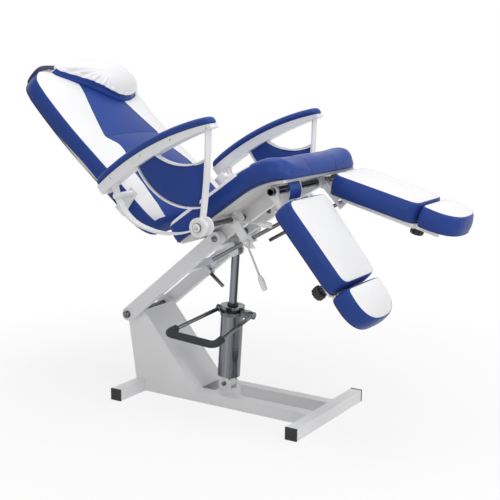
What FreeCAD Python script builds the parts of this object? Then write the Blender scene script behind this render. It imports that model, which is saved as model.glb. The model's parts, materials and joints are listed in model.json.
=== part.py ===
"""Pedicure chair on a hydraulic lift fork.

Sitter faces -Y, +Z is up, lengths in millimetres.  The rest pose is lift raised, seat leaning back,
one leg rest lowered and the other raised.
"""
import FreeCAD, Part
import math
import os

V = FreeCAD.Vector
DOC = FreeCAD.newDocument("pedicure_chair")
SHEET = DOC.addObject("Spreadsheet::Sheet", "Sizes")

# Driving dimensions: alias and value, piece by piece
SIZES = (
    # base of square tube
    ("tube_side", 40), ("tube_wall", 2.5), ("foot_length", 450), ("feet_pitch", 700), ("rails_width", 176),
    ("cap_thick", 5), ("cap_edge", 1),
    # tower of sheet steel
    ("tower_plate", 4), ("tower_head_radius", 30), ("tower_toe_y", 112), ("tower_brow_y", 332),
    ("tower_brow_z", 296), ("cover_sheet", 3),
    # lift fork and its shaft
    ("lift_pivot_y", 375), ("lift_pivot_z", 283), ("lift_shaft_radius", 10), ("lift_head_radius", 13),
    ("lift_head_thick", 8), ("lift_bar_depth", 46), ("lift_bar_width", 28), ("fork_inside", 198),
    ("fork_reach", 480), ("fork_angle", 39.5), ("bush_wall", 3), ("bush_flange", 2.6),
    ("cross_tube_side", 36), ("cross_tube_reach", 438), ("tie_bar_reach", 280), ("tie_bar_side", 26),
    # seat pivot on the fork
    ("seat_shaft_radius", 10), ("seat_shaft_overhang", 5), ("seat_pivot_in", 60), ("seat_pivot_drop", 35.3),
    # hydraulic pump
    ("pump_pivot_y", 33), ("pump_pivot_z", 62), ("pump_pin_radius", 7), ("pump_lug_thick", 8),
    ("pump_lug_gap", 34), ("pump_lug_width", 46), ("pump_cylinder_radius", 39), ("pump_bore_radius", 30),
    ("pump_cylinder_low", 26), ("pump_cylinder_high", 244), ("pump_floor", 12), ("pump_head_radius", 42),
    ("pump_head_thick", 34), ("pump_neck_radius", 20), ("pump_rod_radius", 14), ("piston_thick", 24),
    ("pump_stroke", 104), ("rod_clevis_reach", 445), ("rod_clevis_drop", 45), ("rod_eye_radius", 19),
    ("rod_eye_width", 30), ("rod_pin_radius", 7), ("rod_pin_play", 1.8), ("rod_lug_thick", 8),
    # foot pedal of the pump
    ("pedal_front", 80), ("pedal_rear", 53), ("pedal_front_out", 89), ("pedal_rear_out", 101),
    ("pedal_reach", 238), ("pedal_drop", 46), ("pedal_rod_radius", 7), ("pedal_bend", 12),
    ("pedal_eye_radius", 13), ("pedal_eye_thick", 17), ("pedal_stub_radius", 6), ("pedal_bar_side", 24),
    ("sleeve_radius", 13), ("sleeve_length", 150),
    # tilt lock lever below the fork
    ("tilt_lever_x", 36), ("tilt_lever_length", 74), ("tilt_lever_radius", 6.5), ("tilt_lever_slope", 37.5),
    ("tilt_pin_radius", 5), ("tilt_eye_radius", 12), ("tilt_eye_width", 16), ("tilt_lug_thick", 8),
    ("tilt_pin_drop", 34),
    # seat cushion, board and rails
    ("seat_tilt", 35.4), ("seat_width", 510), ("seat_flat", 300), ("seat_bend_radius", 323),
    ("seat_bend", 28),
    ("seat_thick", 76), ("seat_crown", 12), ("seat_edge_round", 20), ("seat_waist", 12),
    ("seat_nose", 14), ("seat_nose_round", 34),
    ("board_thick", 9), ("board_width", 470), ("board_inset", 14), ("seat_rail_width", 25),
    ("seat_rail_depth", 40), ("seat_rails_inside", 130), ("seat_rail_start", 42),
    # hub of the recline axis
    ("hub_along", 178), ("hub_drop", 25.5), ("hub_shaft_radius", 9), ("hub_disc_radius", 30),
    ("hub_disc_thick", 9), ("hub_core_radius", 17), ("hub_cap_thick", 5),
    ("block_x", 124), ("block_width", 32), ("block_length", 44), ("block_height", 30),
    # leg lock rods and their brackets
    ("rod_line_x", 140), ("rod_line_angle", 29.5), ("lock_rod_radius", 6.5), ("lock_rod_length", 322),
    ("crank_radius", 90), ("crank_line", 87.2), ("crank_pin_radius", 4), ("crank_pin_length", 26),
    ("crank_plate", 5), ("crank_plate_x", 120), ("crank_margin", 9), ("clamp_along", 176),
    ("clamp_length", 34),
    ("clamp_wall", 6), ("bracket_plate", 5), ("bracket_width", 34), ("bracket_low", 14),
    # release levers
    ("lever_rod_radius", 3.5), ("recline_lever_length", 98), ("recline_lever_slope", 2),
    ("legs_lever_length", 112), ("legs_lever_slope", 64), ("grip_radius", 10), ("grip_length", 52),
    ("lever_eye_radius", 14), ("lever_eye_thick", 11), ("lever_pin_radius", 5), ("lever_pin_eye", 11),
    # leg rests
    ("leg_hinge_along", 385.6), ("leg_hinge_drop", 40.5), ("hinge_tube_radius", 12.5),
    ("hinge_tube_wall", 3),
    ("hinge_tube_length", 444), ("knuckle_wall", 5), ("knuckle_width", 12), ("knuckle_spread", 104),
    ("leg_spread", 300), ("leg_low_angle", 50.8), ("leg_high_angle", 15.1), ("leg_top_angle", 10),
    ("leg_start", 62), ("leg_length", 306), ("leg_width", 250), ("leg_end_width", 222), ("leg_thick", 77),
    ("leg_crown", 6), ("leg_round", 16), ("leg_plate", 6), ("leg_plate_width", 196), ("guide_side", 18),
    ("guide_wall", 2), ("leg_deck_drop", 15),
    ("guide_start", 116), ("guide_length", 240), ("slide_side", 13.8), ("slide_inside", 170),
    ("foot_gap", 6),
    ("foot_length_pad", 128), ("foot_tip_width", 84), ("foot_tip_thick", 67), ("foot_travel", 100),
    ("knob_radius", 23), ("knob_height", 28), ("knob_screw_radius", 4), ("knob_from_end", 24),
    ("knob_collar", 3), ("knob_neck_radius", 9), ("knob_neck", 13), ("guide_spread", 100),
    ("flap_radius", 56), ("flap_thick", 3), ("flap_x", 126), ("flap_width", 69.4), ("flap_top_angle", 36),
    # backrest
    ("back_root_y", 291.5), ("back_root_z", -62.5), ("back_heading", 39.5), ("back_flat", 330),
    ("back_bend_radius", 2300), ("back_bend", 10.46), ("back_width", 520), ("back_top_width", 200),
    ("back_thick", 60),
    ("back_crown", 8), ("back_board", 12), ("back_board_inset", 10), ("back_waist", 10),
    ("back_root_round", 30), ("back_top_round", 8),
    ("pillow_width", 390), ("pillow_length", 150), ("pillow_thick", 60), ("pillow_from_top", 185),
    ("pillow_turn_angle", 14), ("pillow_shift", 40),
    # armrests, measured from the recline hub
    ("arm_x", 330), ("band_width", 28), ("arm_bar_thick", 13), ("arm_bar_deep", 33),
    ("arm_bar_width", 44), ("arm_tail_y", 394), ("arm_tail_z", 99),
    ("arm_mid_y", 222), ("arm_mid_z", 217), ("arm_tip_y", -46), ("arm_tip_z", 316), ("arm_pad_width", 52),
    ("arm_pad_thick", 25), ("band_thick", 6), ("post_mid_y", -21), ("post_mid_z", 178), ("post_top_y", -25),
    ("strap_top_y", 336), ("strap_top_z", 112), ("strap_bow_y", 300), ("strap_bow_z", 26),
    ("strap_low_y", 225),
    ("strap_low_z", -20), ("strap_sag_y", 138), ("strap_sag_z", -33), ("rim_thick", 5),
    ("rim_width", 18), ("panel_thick", 12), ("rim_high_back_y", 190), ("rim_high_back_z", 226),
    ("rim_high_mid_y", 82), ("rim_high_mid_z", 185), ("rim_high_front_z", 209), ("rim_low_back_y", 248),
    ("rim_low_back_z", 186), ("rim_low_mid_y", 134), ("rim_low_mid_z", 72), ("rim_low_front_z", 60),
    ("back_pin_y", 322), ("back_pin_z", 72), ("back_pin_radius", 10), ("back_plate", 5),
    ("back_plate_width", 44),
    # fits
    ("fit_clear", 0.05), ("gap", 0.3), ("overrun", 5),
)
for row, (alias, value) in enumerate(SIZES, start=1):
    SHEET.set(f"A{row}", alias)
    SHEET.set(f"B{row}", str(value))
    SHEET.setAlias(f"B{row}", alias)
DOC.recompute()


class Sizes:
    """Every size, read back from the sheet."""

    def __init__(self):
        for alias, _ in SIZES:
            setattr(self, alias, float(getattr(SHEET, alias)))


d = Sizes()
SIDES = ((-1, "right"), (1, "left"))
FORWARD = -1
BACKWARD = 1
PIECES = []


class Line:
    """A direction in the fore-and-aft plane: along it, and square to it towards the top."""

    def __init__(self, y, z, angle, way):
        self.y, self.z, self.angle, self.way = y, z, angle, way
        turn = math.radians(angle)
        self.along = (way * math.cos(turn), math.sin(turn))
        self.up = (-way * math.sin(turn), math.cos(turn))

    def at(self, along, up=0):
        """Y and Z of a point on the line."""
        return (self.y + along * self.along[0] + up * self.up[0],
                self.z + along * self.along[1] + up * self.up[1])

    def placed(self, x, along, up):
        """Placement whose Y axis points backward along the line and whose Z axis is square to it."""
        y, z = self.at(along, up)
        return FreeCAD.Placement(V(x, y, z), FreeCAD.Rotation(V(1, 0, 0), self.way * self.angle))


# Axes and lines of the mechanism
LIFT = Line(d.lift_pivot_y, d.lift_pivot_z, d.fork_angle, FORWARD)
SEAT_PIVOT = LIFT.at(d.fork_reach)
SEAT = Line(*SEAT_PIVOT, d.seat_tilt, FORWARD)
SEAT = Line(*SEAT.at(-d.seat_pivot_in, d.seat_pivot_drop), d.seat_tilt, FORWARD)
HUB = SEAT.at(d.hub_along, -d.hub_drop)
LEG_HINGE = SEAT.at(d.leg_hinge_along, -d.leg_hinge_drop)
LEGS = {"right": Line(*LEG_HINGE, -d.leg_low_angle, FORWARD),
        "left": Line(*LEG_HINGE, -d.leg_high_angle, FORWARD)}
BACK = Line(HUB[0] + d.back_root_y, HUB[1] + d.back_root_z, d.back_heading, BACKWARD)
PUMP_PIVOT = (d.pump_pivot_y, d.pump_pivot_z)
ROD_TOP = LIFT.at(d.rod_clevis_reach, -d.rod_clevis_drop)
PUMP_LENGTH = math.dist(PUMP_PIVOT, ROD_TOP)
PUMP_LEAN = math.degrees(math.atan2(PUMP_PIVOT[0] - ROD_TOP[0], ROD_TOP[1] - PUMP_PIVOT[1]))
ROD_LINE = Line(*LEG_HINGE, d.rod_line_angle, FORWARD)
LEG_MID_ANGLE = (d.leg_low_angle + d.leg_top_angle) / 2
HALF_SWING = (d.leg_low_angle - d.leg_top_angle) / 2
ROD_PER_DEGREE = d.crank_radius * math.sin(math.radians(HALF_SWING)) / HALF_SWING
TILT_PIN = LIFT.at(d.tie_bar_reach, -d.tilt_pin_drop)
TOWER_WIDTH = d.rails_width
RAIL_IN = d.seat_rails_inside / 2
FORK_IN = d.fork_inside / 2
ARM_OUTER = d.arm_x + d.band_width / 2
BACK_BOARD_WIDTH = d.back_width - 2 * d.back_board_inset


def cell(formula):
    """Formula on the sheet's cells: every word in it names a size."""
    return " ".join("Sizes." + word if word[0].isalpha() else word for word in formula.split())


def bind(obj, **formulas):
    """Tie an object's properties to the sheet."""
    for prop, formula in formulas.items():
        obj.setExpression(prop, cell(formula))
    return obj


def box(name, length, width, height, place):
    """Block along X, Y and Z from its low corner."""
    block = bind(DOC.addObject("Part::Box", name), Length=length, Width=width, Height=height)
    block.Placement = place
    return block


def at(x, y, z):
    """Placement without a turn."""
    return FreeCAD.Placement(V(x, y, z), FreeCAD.Rotation())


def across(x, y, z):
    """Placement of a cylinder whose axis runs along +X."""
    return FreeCAD.Placement(V(x, y, z), FreeCAD.Rotation(V(0, 0, 1), V(1, 0, 0)))


def rod(name, radius, height, place):
    """Round bar along the Z axis of its placement."""
    bar = bind(DOC.addObject("Part::Cylinder", name), Radius=radius, Height=height)
    bar.Placement = place
    return bar


def cut(name, base, *tools):
    """Base without the tools."""
    for count, tool in enumerate(tools):
        last = count == len(tools) - 1
        step = DOC.addObject("Part::Cut", name if last else f"{name}_step")
        step.Base, step.Tool = base, tool
        base = step
    return base


def fuse(name, *shapes):
    """One welded solid."""
    whole = DOC.addObject("Part::MultiFuse", name)
    whole.Shapes = list(shapes)
    whole.Refine = True
    return whole


def group(name, *members):
    """Like pieces that share a node as separate solids."""
    whole = DOC.addObject("Part::Compound", name)
    whole.Links = list(members)
    return whole


def piece(node, obj):
    """Hand a finished sub-part its label."""
    obj.Label = node
    PIECES.append(obj)
    return obj


def plane_of(body, role):
    """One of a body's own origin planes."""
    return next(face for face in body.Origin.OriginFeatures if face.Role == role)


def plate(name, outline, thick, x, holes=()):
    """Flat piece whose outline lies in the fore-and-aft plane, from x towards +X."""
    body = DOC.addObject("PartDesign::Body", name)
    sketch = body.newObject("Sketcher::SketchObject", name + "_outline")
    sketch.AttachmentSupport = (plane_of(body, "YZ_Plane"), "")
    sketch.MapMode = "FlatFace"
    for curve in outline:
        sketch.addGeometry(curve, False)
    for y, z, radius in holes:
        sketch.addGeometry(Part.Circle(V(y, z, 0), V(0, 0, 1), radius), False)
    pad = body.newObject("PartDesign::Pad", name + "_pad")
    pad.Profile = sketch
    bind(pad, Length=thick)
    body.Placement = at(x, 0, 0)
    return body


def flat(point):
    """Y and Z as sketch coordinates."""
    return V(point[0], point[1], 0)


def lines(*points):
    """Closed outline of straight edges."""
    ring = list(points) + [points[0]]
    return [Part.LineSegment(flat(a), flat(b)) for a, b in zip(ring, ring[1:])]


def arc(a, b, c):
    """Arc through three points."""
    return Part.Arc(flat(a), flat(b), flat(c))


def centre(a, b, c):
    """Centre and radius of the circle through three points."""
    circle = Part.Circle(flat(a), flat(b), flat(c))
    return (circle.Center.x, circle.Center.y), circle.Radius


def moved_out(points, by):
    """The three points of an arc, moved away from its centre."""
    middle, radius = centre(*points)
    share = (radius + by) / radius
    return [tuple(m + (p - m) * share for p, m in zip(point, middle)) for point in points]


def band(arcs, low, high):
    """Outline of a bar that follows arcs, between two distances from its centre line."""
    inner = [moved_out(points, low) for points in arcs]
    outer = [moved_out(points, high) for points in arcs]
    for row_of_arcs in (inner, outer):
        for first, second in zip(row_of_arcs, row_of_arcs[1:]):
            second[0] = first[2]
    edges = [arc(*points) for points in inner]
    edges.append(Part.LineSegment(flat(inner[-1][2]), flat(outer[-1][2])))
    edges += [arc(*reversed(points)) for points in reversed(outer)]
    edges.append(Part.LineSegment(flat(outer[0][0]), flat(inner[0][0])))
    return edges


def hollow(name, outer, inner_sizes, inner_place):
    """Square tube: a block without its inside."""
    return cut(name, outer, box(name + "_inside", *inner_sizes, inner_place))


def section(place, width, thick, crown, bulge):
    """Cross-section of a pad: flat below, full at the sides, crowned on top."""
    half = width / 2
    corners = [V(-half, 0, 0), V(half, 0, 0), V(half, thick, 0), V(-half, thick, 0)]
    right = Part.Arc(corners[1], V(half + bulge, thick / 2, 0), corners[2])
    top = Part.Arc(corners[2], V(0, thick + crown, 0), corners[3])
    left = Part.Arc(corners[3], V(-half - bulge, thick / 2, 0), corners[0])
    bottom = Part.LineSegment(corners[0], corners[1])
    wire = Part.Wire([curve.toShape() for curve in (bottom, right, top, left)])
    wire.Placement = place
    return wire


ROUND_SHARES = (0, 1 / 3, 2 / 3, 1)


def rounded(spots, start_round, end_round):
    """Stations of a pad with both ends rounded off; a spot is its place, width, thickness and crown."""
    rows = []
    for share in ROUND_SHARES:
        turn = math.radians(90 * share)
        for (along, width, thick, crown), radius, way in ((spots[0], start_round, 1),
                                                          (spots[-1], end_round, -1)):
            inset = radius * (1 - math.sin(turn))
            rows.append((along + way * radius * (1 - math.cos(turn)), width - 2 * inset, thick - inset,
                         crown))
    return sorted(rows + list(spots[1:-1]))


def pad(name, x, line_at, rows, rise, bulge):
    """Cushion through its cross-sections along a line."""
    wires = []
    for along, width, thick, crown in rows:
        line = line_at(along)
        up = V(0, *line.up)
        turn = FreeCAD.Rotation(V(1, 0, 0), up, V(1, 0, 0).cross(up), "XYZ")
        wires.append(section(FreeCAD.Placement(V(x, *line.at(0, rise)), turn), width, thick, crown, bulge))
    cushion = DOC.addObject("Part::Feature", name)
    cushion.Shape = Part.makeLoft(wires, True, True)
    return cushion


def bent_line(start, flat_length, radius, bend, along):
    """Line that carries on straight and then bends, at a distance along it; a negative bend drops."""
    if along <= flat_length:
        return Line(*start.at(along), start.angle, start.way)
    turn = (along - flat_length) / radius
    sign = math.copysign(1, bend)
    y, z = start.at(flat_length + radius * math.sin(turn), sign * radius * (1 - math.cos(turn)))
    return Line(y, z, start.angle + sign * math.degrees(turn), start.way)


def pipe(name, points, radius, bend):
    """Round bar along straight runs joined by arcs."""
    edges = []
    start = points[0]
    for before, corner, after in zip(points, points[1:], points[2:]):
        back, ahead = (before - corner).normalize(), (after - corner).normalize()
        half = back.getAngle(ahead) / 2
        reach = bend / math.tan(half)
        first, last = corner + back * reach, corner + ahead * reach
        middle = corner + (back + ahead).normalize() * (bend / math.sin(half) - bend)
        edges += [Part.LineSegment(start, first).toShape(), Part.Arc(first, middle, last).toShape()]
        start = last
    edges.append(Part.LineSegment(start, points[-1]).toShape())
    path = Part.Wire(edges)
    ring = Part.Wire(Part.Circle(points[0], points[1] - points[0], radius).toShape())
    bar = DOC.addObject("Part::Feature", name)
    bar.Shape = path.makePipeShell([ring], True, False)
    return bar


def base():
    """Feet, rails, end caps and tower."""
    side, wall, pitch = d.tube_side, d.tube_wall, d.feet_pitch / 2
    foot_inside = ("foot_length", "tube_side - 2 * tube_wall", "tube_side - 2 * tube_wall")
    for node, y in (("front_foot", -pitch), ("rear_foot", pitch)):
        corner = at(-d.foot_length / 2, y - side / 2, 0)
        tube = box(node + "_block", "foot_length", "tube_side", "tube_side", corner)
        inside = at(-d.foot_length / 2, y - side / 2 + wall, wall)
        piece(node, hollow(node, tube, foot_inside, inside))
    caps = []
    for way, _ in SIDES:
        for y in (-pitch, pitch):
            x = d.foot_length / 2 if way > 0 else -d.foot_length / 2 - d.cap_thick
            name = f"cap_{len(caps)}"
            edge = at(x, y - side / 2 - d.cap_edge, 0)
            caps.append(box(name, "cap_thick", "tube_side + 2 * cap_edge", "tube_side + cap_edge", edge))
    piece("foot_end_caps", group("foot_end_caps", *caps))
    rails = []
    rail_inside = ("tube_side - 2 * tube_wall", "feet_pitch - tube_side", "tube_side - 2 * tube_wall")
    for way, _ in SIDES:
        x = TOWER_WIDTH / 2 - side if way > 0 else -TOWER_WIDTH / 2
        name = f"rail_{len(rails)}"
        tube = box(name + "_block", "tube_side", "feet_pitch - tube_side", "tube_side",
                   at(x, -pitch + side / 2, 0))
        rails.append(hollow(name, tube, rail_inside, at(x + wall, -pitch + side / 2, wall)))
    piece("base_rails", group("base_rails", *rails))


def tower():
    """Side plates, sloping front cover and the shaft the fork turns on."""
    pivot = (d.lift_pivot_y, d.lift_pivot_z)
    heel = (d.feet_pitch / 2 + d.tube_side / 2, d.tube_side)
    toe, brow = (d.tower_toe_y, d.tube_side), (d.tower_brow_y, d.tower_brow_z)
    head = d.tower_head_radius
    nape, crown = (pivot[0] + head, pivot[1]), (pivot[0], pivot[1] + head)
    over = (pivot[0] + head * math.sqrt(1 / 2), pivot[1] + head * math.sqrt(1 / 2))
    outline = [Part.LineSegment(flat(a), flat(b)) for a,
               b in ((crown, brow), (brow, toe), (toe, heel), (heel, nape))]
    outline.insert(0, arc(nape, over, crown))
    hole = (*pivot, d.lift_shaft_radius + d.fit_clear)
    for way, side in SIDES:
        x = TOWER_WIDTH / 2 - d.tower_plate if way > 0 else -TOWER_WIDTH / 2
        piece(f"tower_plate_{side}", plate(f"tower_plate_{side}", outline, "tower_plate", x, [hole]))
    slope = math.atan2(brow[1] - toe[1], brow[0] - toe[0])
    down, inward = math.cos(slope) * d.cover_sheet, math.sin(slope) * d.cover_sheet
    sheet = lines(toe, brow, (brow[0] + inward, brow[1] - down),
                  (toe[0] + d.cover_sheet / math.sin(slope), toe[1]))
    cover = plate("tower_cover", sheet, "rails_width - 2 * tower_plate", d.tower_plate - TOWER_WIDTH / 2)
    piece("tower_front_cover", cover)
    reach = FORK_IN + d.lift_bar_width + d.gap
    shaft = rod("lift_shaft_bar", "lift_shaft_radius", "fork_inside + 2 * lift_bar_width + 2 * gap",
                across(-reach, *pivot))
    heads = [rod(f"lift_head_{way}", "lift_head_radius", "lift_head_thick",
                 across(reach if way > 0 else -reach - d.lift_head_thick, *pivot)) for way, _ in SIDES]
    piece("lift_shaft", fuse("lift_shaft", shaft, *heads))


def pump_stand():
    """Cross member between the rails with the lugs and pin that carry the pump."""
    y, z = PUMP_PIVOT
    width, thick, gap = d.pump_lug_width, d.pump_lug_thick, d.pump_lug_gap
    inner = TOWER_WIDTH / 2 - d.tube_side
    beam = box("pump_beam", "rails_width - 2 * tube_side", "pump_lug_width", "tube_side",
               at(-inner, y - width / 2, 0))
    lugs = []
    for way, side in SIDES:
        x = gap / 2 if way > 0 else -gap / 2 - thick
        top = z + width / 2
        corners = ((y - width / 2, z), (y, top), (y + width / 2, z))
        outline = [arc(*corners)]
        ring = (corners[2], (y + width / 2, d.tube_side), (y - width / 2, d.tube_side), corners[0])
        outline += [Part.LineSegment(flat(a), flat(b)) for a, b in zip(ring, ring[1:])]
        lugs.append(plate(f"pump_lug_{side}", outline, "pump_lug_thick", x,
                          [(y, z, d.pump_pin_radius + d.fit_clear)]))
    piece("pump_clevis", fuse("pump_clevis", beam, *lugs))
    pin = rod("pump_pin", "pump_pin_radius", "pump_lug_gap + 4 * pump_lug_thick",
              across(-gap / 2 - 2 * thick, y, z))
    piece("pump_base_pin", pin)


def lift_fork():
    """Two bars outside the tower, their bushes, the cross tube, the rod clevis and the seat shaft."""
    half = d.lift_bar_depth / 2
    bore = d.lift_shaft_radius + d.bush_wall
    bars, bushes = [], []
    low, high = LIFT.at(0, -half), LIFT.at(0, half)
    far_low, far_high = LIFT.at(d.fork_reach, -half), LIFT.at(d.fork_reach, half)
    outline = [arc(high, LIFT.at(-half), low), Part.LineSegment(flat(low), flat(far_low)),
               arc(far_low, LIFT.at(d.fork_reach + half), far_high),
               Part.LineSegment(flat(far_high), flat(high))]
    holes = [(*LIFT.at(0), bore), (*SEAT_PIVOT, d.seat_shaft_radius + d.fit_clear)]
    for way, side in SIDES:
        x = FORK_IN if way > 0 else -FORK_IN - d.lift_bar_width
        bars.append(plate(f"lift_bar_{side}", outline, "lift_bar_width", x, holes))
        tube = rod(f"bush_tube_{side}", "lift_shaft_radius + bush_wall - fit_clear", "lift_bar_width",
                   across(x, *LIFT.at(0)))
        flange_x = x - d.bush_flange if way > 0 else x + d.lift_bar_width
        flange = rod(f"bush_flange_{side}", "lift_shaft_radius + 3 * bush_wall", "bush_flange",
                     across(flange_x, *LIFT.at(0)))
        hole = rod(f"bush_hole_{side}", "lift_shaft_radius + fit_clear", "lift_bar_width + 4 * overrun",
                   across(x - 2 * d.overrun, *LIFT.at(0)))
        bushes.append(cut(f"bush_{side}", fuse(f"bush_body_{side}", tube, flange), hole))
    piece("lift_bars", group("lift_bars", *bars))
    piece("lift_bushes", group("lift_bushes", *bushes))
    for node, reach, side_name in (("arm_cross_tube", d.cross_tube_reach, "cross_tube_side"),
                                   ("arm_tie_bar", d.tie_bar_reach, "tie_bar_side")):
        thick = getattr(d, side_name)
        place = LIFT.placed(-FORK_IN, reach + thick / 2, -thick / 2)
        beam = box(node + "_beam", "fork_inside", side_name, side_name, place)
        piece(node, beam if node == "arm_cross_tube" else fuse("tie_bar_weld", beam, *tilt_lugs()))
    piece("rod_clevis", rod_clevis())
    reach = FORK_IN + d.lift_bar_width + d.seat_shaft_overhang
    length = "fork_inside + 2 * lift_bar_width + 2 * seat_shaft_overhang"
    piece("seat_pivot_shaft",
          rod("seat_pivot_shaft", "seat_shaft_radius", length, across(-reach, *SEAT_PIVOT)))


def rod_clevis():
    """Lugs below the cross tube with the pin that the piston rod lifts."""
    y, z = ROD_TOP
    radius = d.rod_eye_radius
    inner = d.rod_eye_width / 2 + d.gap
    lugs = []
    top = -d.cross_tube_side / 2
    for way, side in SIDES:
        x = inner if way > 0 else -inner - d.rod_lug_thick
        base_at = d.rod_clevis_reach - radius, d.rod_clevis_reach + radius
        down = -d.rod_clevis_drop
        outline = [arc(LIFT.at(base_at[0], down), LIFT.at(d.rod_clevis_reach, down - radius),
                       LIFT.at(base_at[1], down))]
        ring = (LIFT.at(base_at[1], down), LIFT.at(base_at[1], top), LIFT.at(base_at[0], top),
                LIFT.at(base_at[0], down))
        outline += [Part.LineSegment(flat(a), flat(b)) for a, b in zip(ring, ring[1:])]
        lugs.append(plate(f"rod_lug_{side}", outline, "rod_lug_thick", x))
    pin = rod("rod_pin", "rod_pin_radius", "rod_eye_width + 2 * gap + 4 * rod_lug_thick",
              across(-inner - 2 * d.rod_lug_thick, y, z))
    return fuse("rod_clevis_weld", *lugs, pin)


def tilt_lugs():
    """Two lugs and a pin below the tie bar, for the tilt lock lever."""
    inner = d.tilt_eye_width / 2 + d.gap
    radius, top = d.tilt_eye_radius, -d.tie_bar_side / 2
    down = -d.tilt_pin_drop
    lugs = []
    for way, side in SIDES:
        x = d.tilt_lever_x + (inner if way > 0 else -inner - d.tilt_lug_thick)
        reach = d.tie_bar_reach
        outline = [arc(LIFT.at(reach - radius, down), LIFT.at(reach, down - radius),
                       LIFT.at(reach + radius, down))]
        ring = (LIFT.at(reach + radius, down), LIFT.at(reach + radius, top), LIFT.at(reach - radius, top),
                LIFT.at(reach - radius, down))
        outline += [Part.LineSegment(flat(a), flat(b)) for a, b in zip(ring, ring[1:])]
        lugs.append(plate(f"tilt_lug_{side}", outline, "tilt_lug_thick", x))
    start = d.tilt_lever_x - inner - d.tilt_lug_thick
    pin = rod("tilt_pin", "tilt_pin_radius", "tilt_eye_width + 2 * gap + 2 * tilt_lug_thick",
              across(start, *TILT_PIN))
    return (*lugs, pin)


def tilt_lever():
    """Chrome lever whose eye turns on the pin below the tie bar."""
    start = d.tilt_lever_x - d.tilt_eye_width / 2
    eye = rod("tilt_eye", "tilt_eye_radius", "tilt_eye_width", across(start, *TILT_PIN))
    slope = math.radians(d.tilt_lever_slope)
    way = V(0, -math.cos(slope), -math.sin(slope))
    bar = rod("tilt_bar", "tilt_lever_radius", "tilt_lever_length",
              FreeCAD.Placement(V(d.tilt_lever_x, *TILT_PIN), FreeCAD.Rotation(V(0, 0, 1), way)))
    hole = rod("tilt_hole", "tilt_pin_radius + fit_clear", "tilt_eye_width + 2 * overrun",
               across(start - d.overrun, *TILT_PIN))
    piece("tilt_lock_lever", cut("tilt_lock_lever", fuse("tilt_lever_weld", eye, bar), hole))


def pump():
    """Cylinder, head, neck with eye, and the piston rod, built upright and leant over their base pin."""
    lean = FreeCAD.Placement(V(0, *PUMP_PIVOT), FreeCAD.Rotation(V(1, 0, 0), PUMP_LEAN))
    low, high = d.pump_cylinder_low, d.pump_cylinder_high
    body = rod("cylinder_body", "pump_cylinder_radius", "pump_cylinder_high - pump_cylinder_low",
               at(0, 0, low))
    bore = rod("cylinder_bore", "pump_bore_radius", "pump_cylinder_high", at(0, 0, low + d.pump_floor))
    cylinder = piece("pump_cylinder", cut("pump_cylinder", body, bore))
    head_disc = rod("head_disc", "pump_head_radius", "pump_head_thick", at(0, 0, high))
    front = -d.pedal_front - d.pedal_eye_thick / 2
    carrier = box("pedal_carrier", "pedal_bar_side", "pedal_front + pedal_rear - pedal_eye_thick - 2 * gap",
                  "pedal_bar_side", at(-d.pedal_bar_side / 2, front + d.pedal_eye_thick + d.gap, high))
    stub_place = FreeCAD.Placement(V(0, front, high + d.pedal_bar_side / 2),
                                   FreeCAD.Rotation(V(0, 0, 1), V(0, 1, 0)))
    stubs = rod("pedal_stubs", "pedal_stub_radius", "pedal_front + pedal_rear + pedal_eye_thick", stub_place)
    rod_hole = rod("rod_hole", "pump_rod_radius + fit_clear", "pump_head_thick + 2 * overrun",
                   at(0, 0, high - d.overrun))
    head = piece("pump_head", cut("pump_head", fuse("head_weld", head_disc, carrier, stubs), rod_hole))
    neck = rod("pump_neck", "pump_neck_radius", "pump_cylinder_low", at(0, 0, 0))
    eye_width = d.pump_lug_gap - 2 * d.gap
    eye = rod("pump_eye_disc", "pump_neck_radius", "pump_lug_gap - 2 * gap", across(-eye_width / 2, 0, 0))
    sides = box("pump_eye_trim", "pump_lug_gap - 2 * gap", "2 * pump_neck_radius",
                "2 * pump_neck_radius + overrun",
                at(-eye_width / 2, -d.pump_neck_radius, -d.pump_neck_radius))
    trimmed = DOC.addObject("Part::Common", "pump_neck_trimmed")
    trimmed.Base, trimmed.Tool = neck, sides
    pin_hole = rod("pump_pin_hole", "pump_pin_radius + fit_clear", "pump_lug_gap",
                   across(-d.pump_lug_gap / 2, 0, 0))
    eye_piece = piece("pump_eye", cut("pump_eye", fuse("pump_eye_weld", trimmed, eye), pin_hole))
    piston_low = low + d.pump_floor + d.pump_stroke + d.gap
    profile = DOC.addObject("PartDesign::Body", "piston_body")
    sketch = profile.newObject("Sketcher::SketchObject", "piston_outline")
    sketch.AttachmentSupport = (plane_of(profile, "XZ_Plane"), "")
    sketch.MapMode = "FlatFace"
    inner = d.pump_bore_radius - d.fit_clear
    steps = ((0, piston_low), (inner, piston_low), (inner, piston_low + d.piston_thick),
             (d.pump_rod_radius, piston_low + d.piston_thick),
             (d.pump_rod_radius, PUMP_LENGTH - d.rod_eye_radius / 2),
             (0, PUMP_LENGTH - d.rod_eye_radius / 2))
    for edge in lines(*steps):
        sketch.addGeometry(edge, False)
    turned = profile.newObject("PartDesign::Revolution", "piston_turned")
    turned.Profile = sketch
    turned.ReferenceAxis = (sketch, ["V_Axis"])
    eye_ring = rod("rod_eye_disc", "rod_eye_radius", "rod_eye_width",
                   across(-d.rod_eye_width / 2, 0, PUMP_LENGTH))
    eye_hole = rod("rod_eye_hole", "rod_pin_radius + rod_pin_play", "rod_eye_width + 2 * overrun",
                   across(-d.rod_eye_width / 2 - d.overrun, 0, PUMP_LENGTH))
    ram = piece("pump_rod", cut("pump_rod", fuse("pump_rod_weld", profile, eye_ring), eye_hole))
    for part in (cylinder, head, eye_piece, ram, *pedal(high + d.pedal_bar_side / 2)):
        part.Placement = lean


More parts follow.
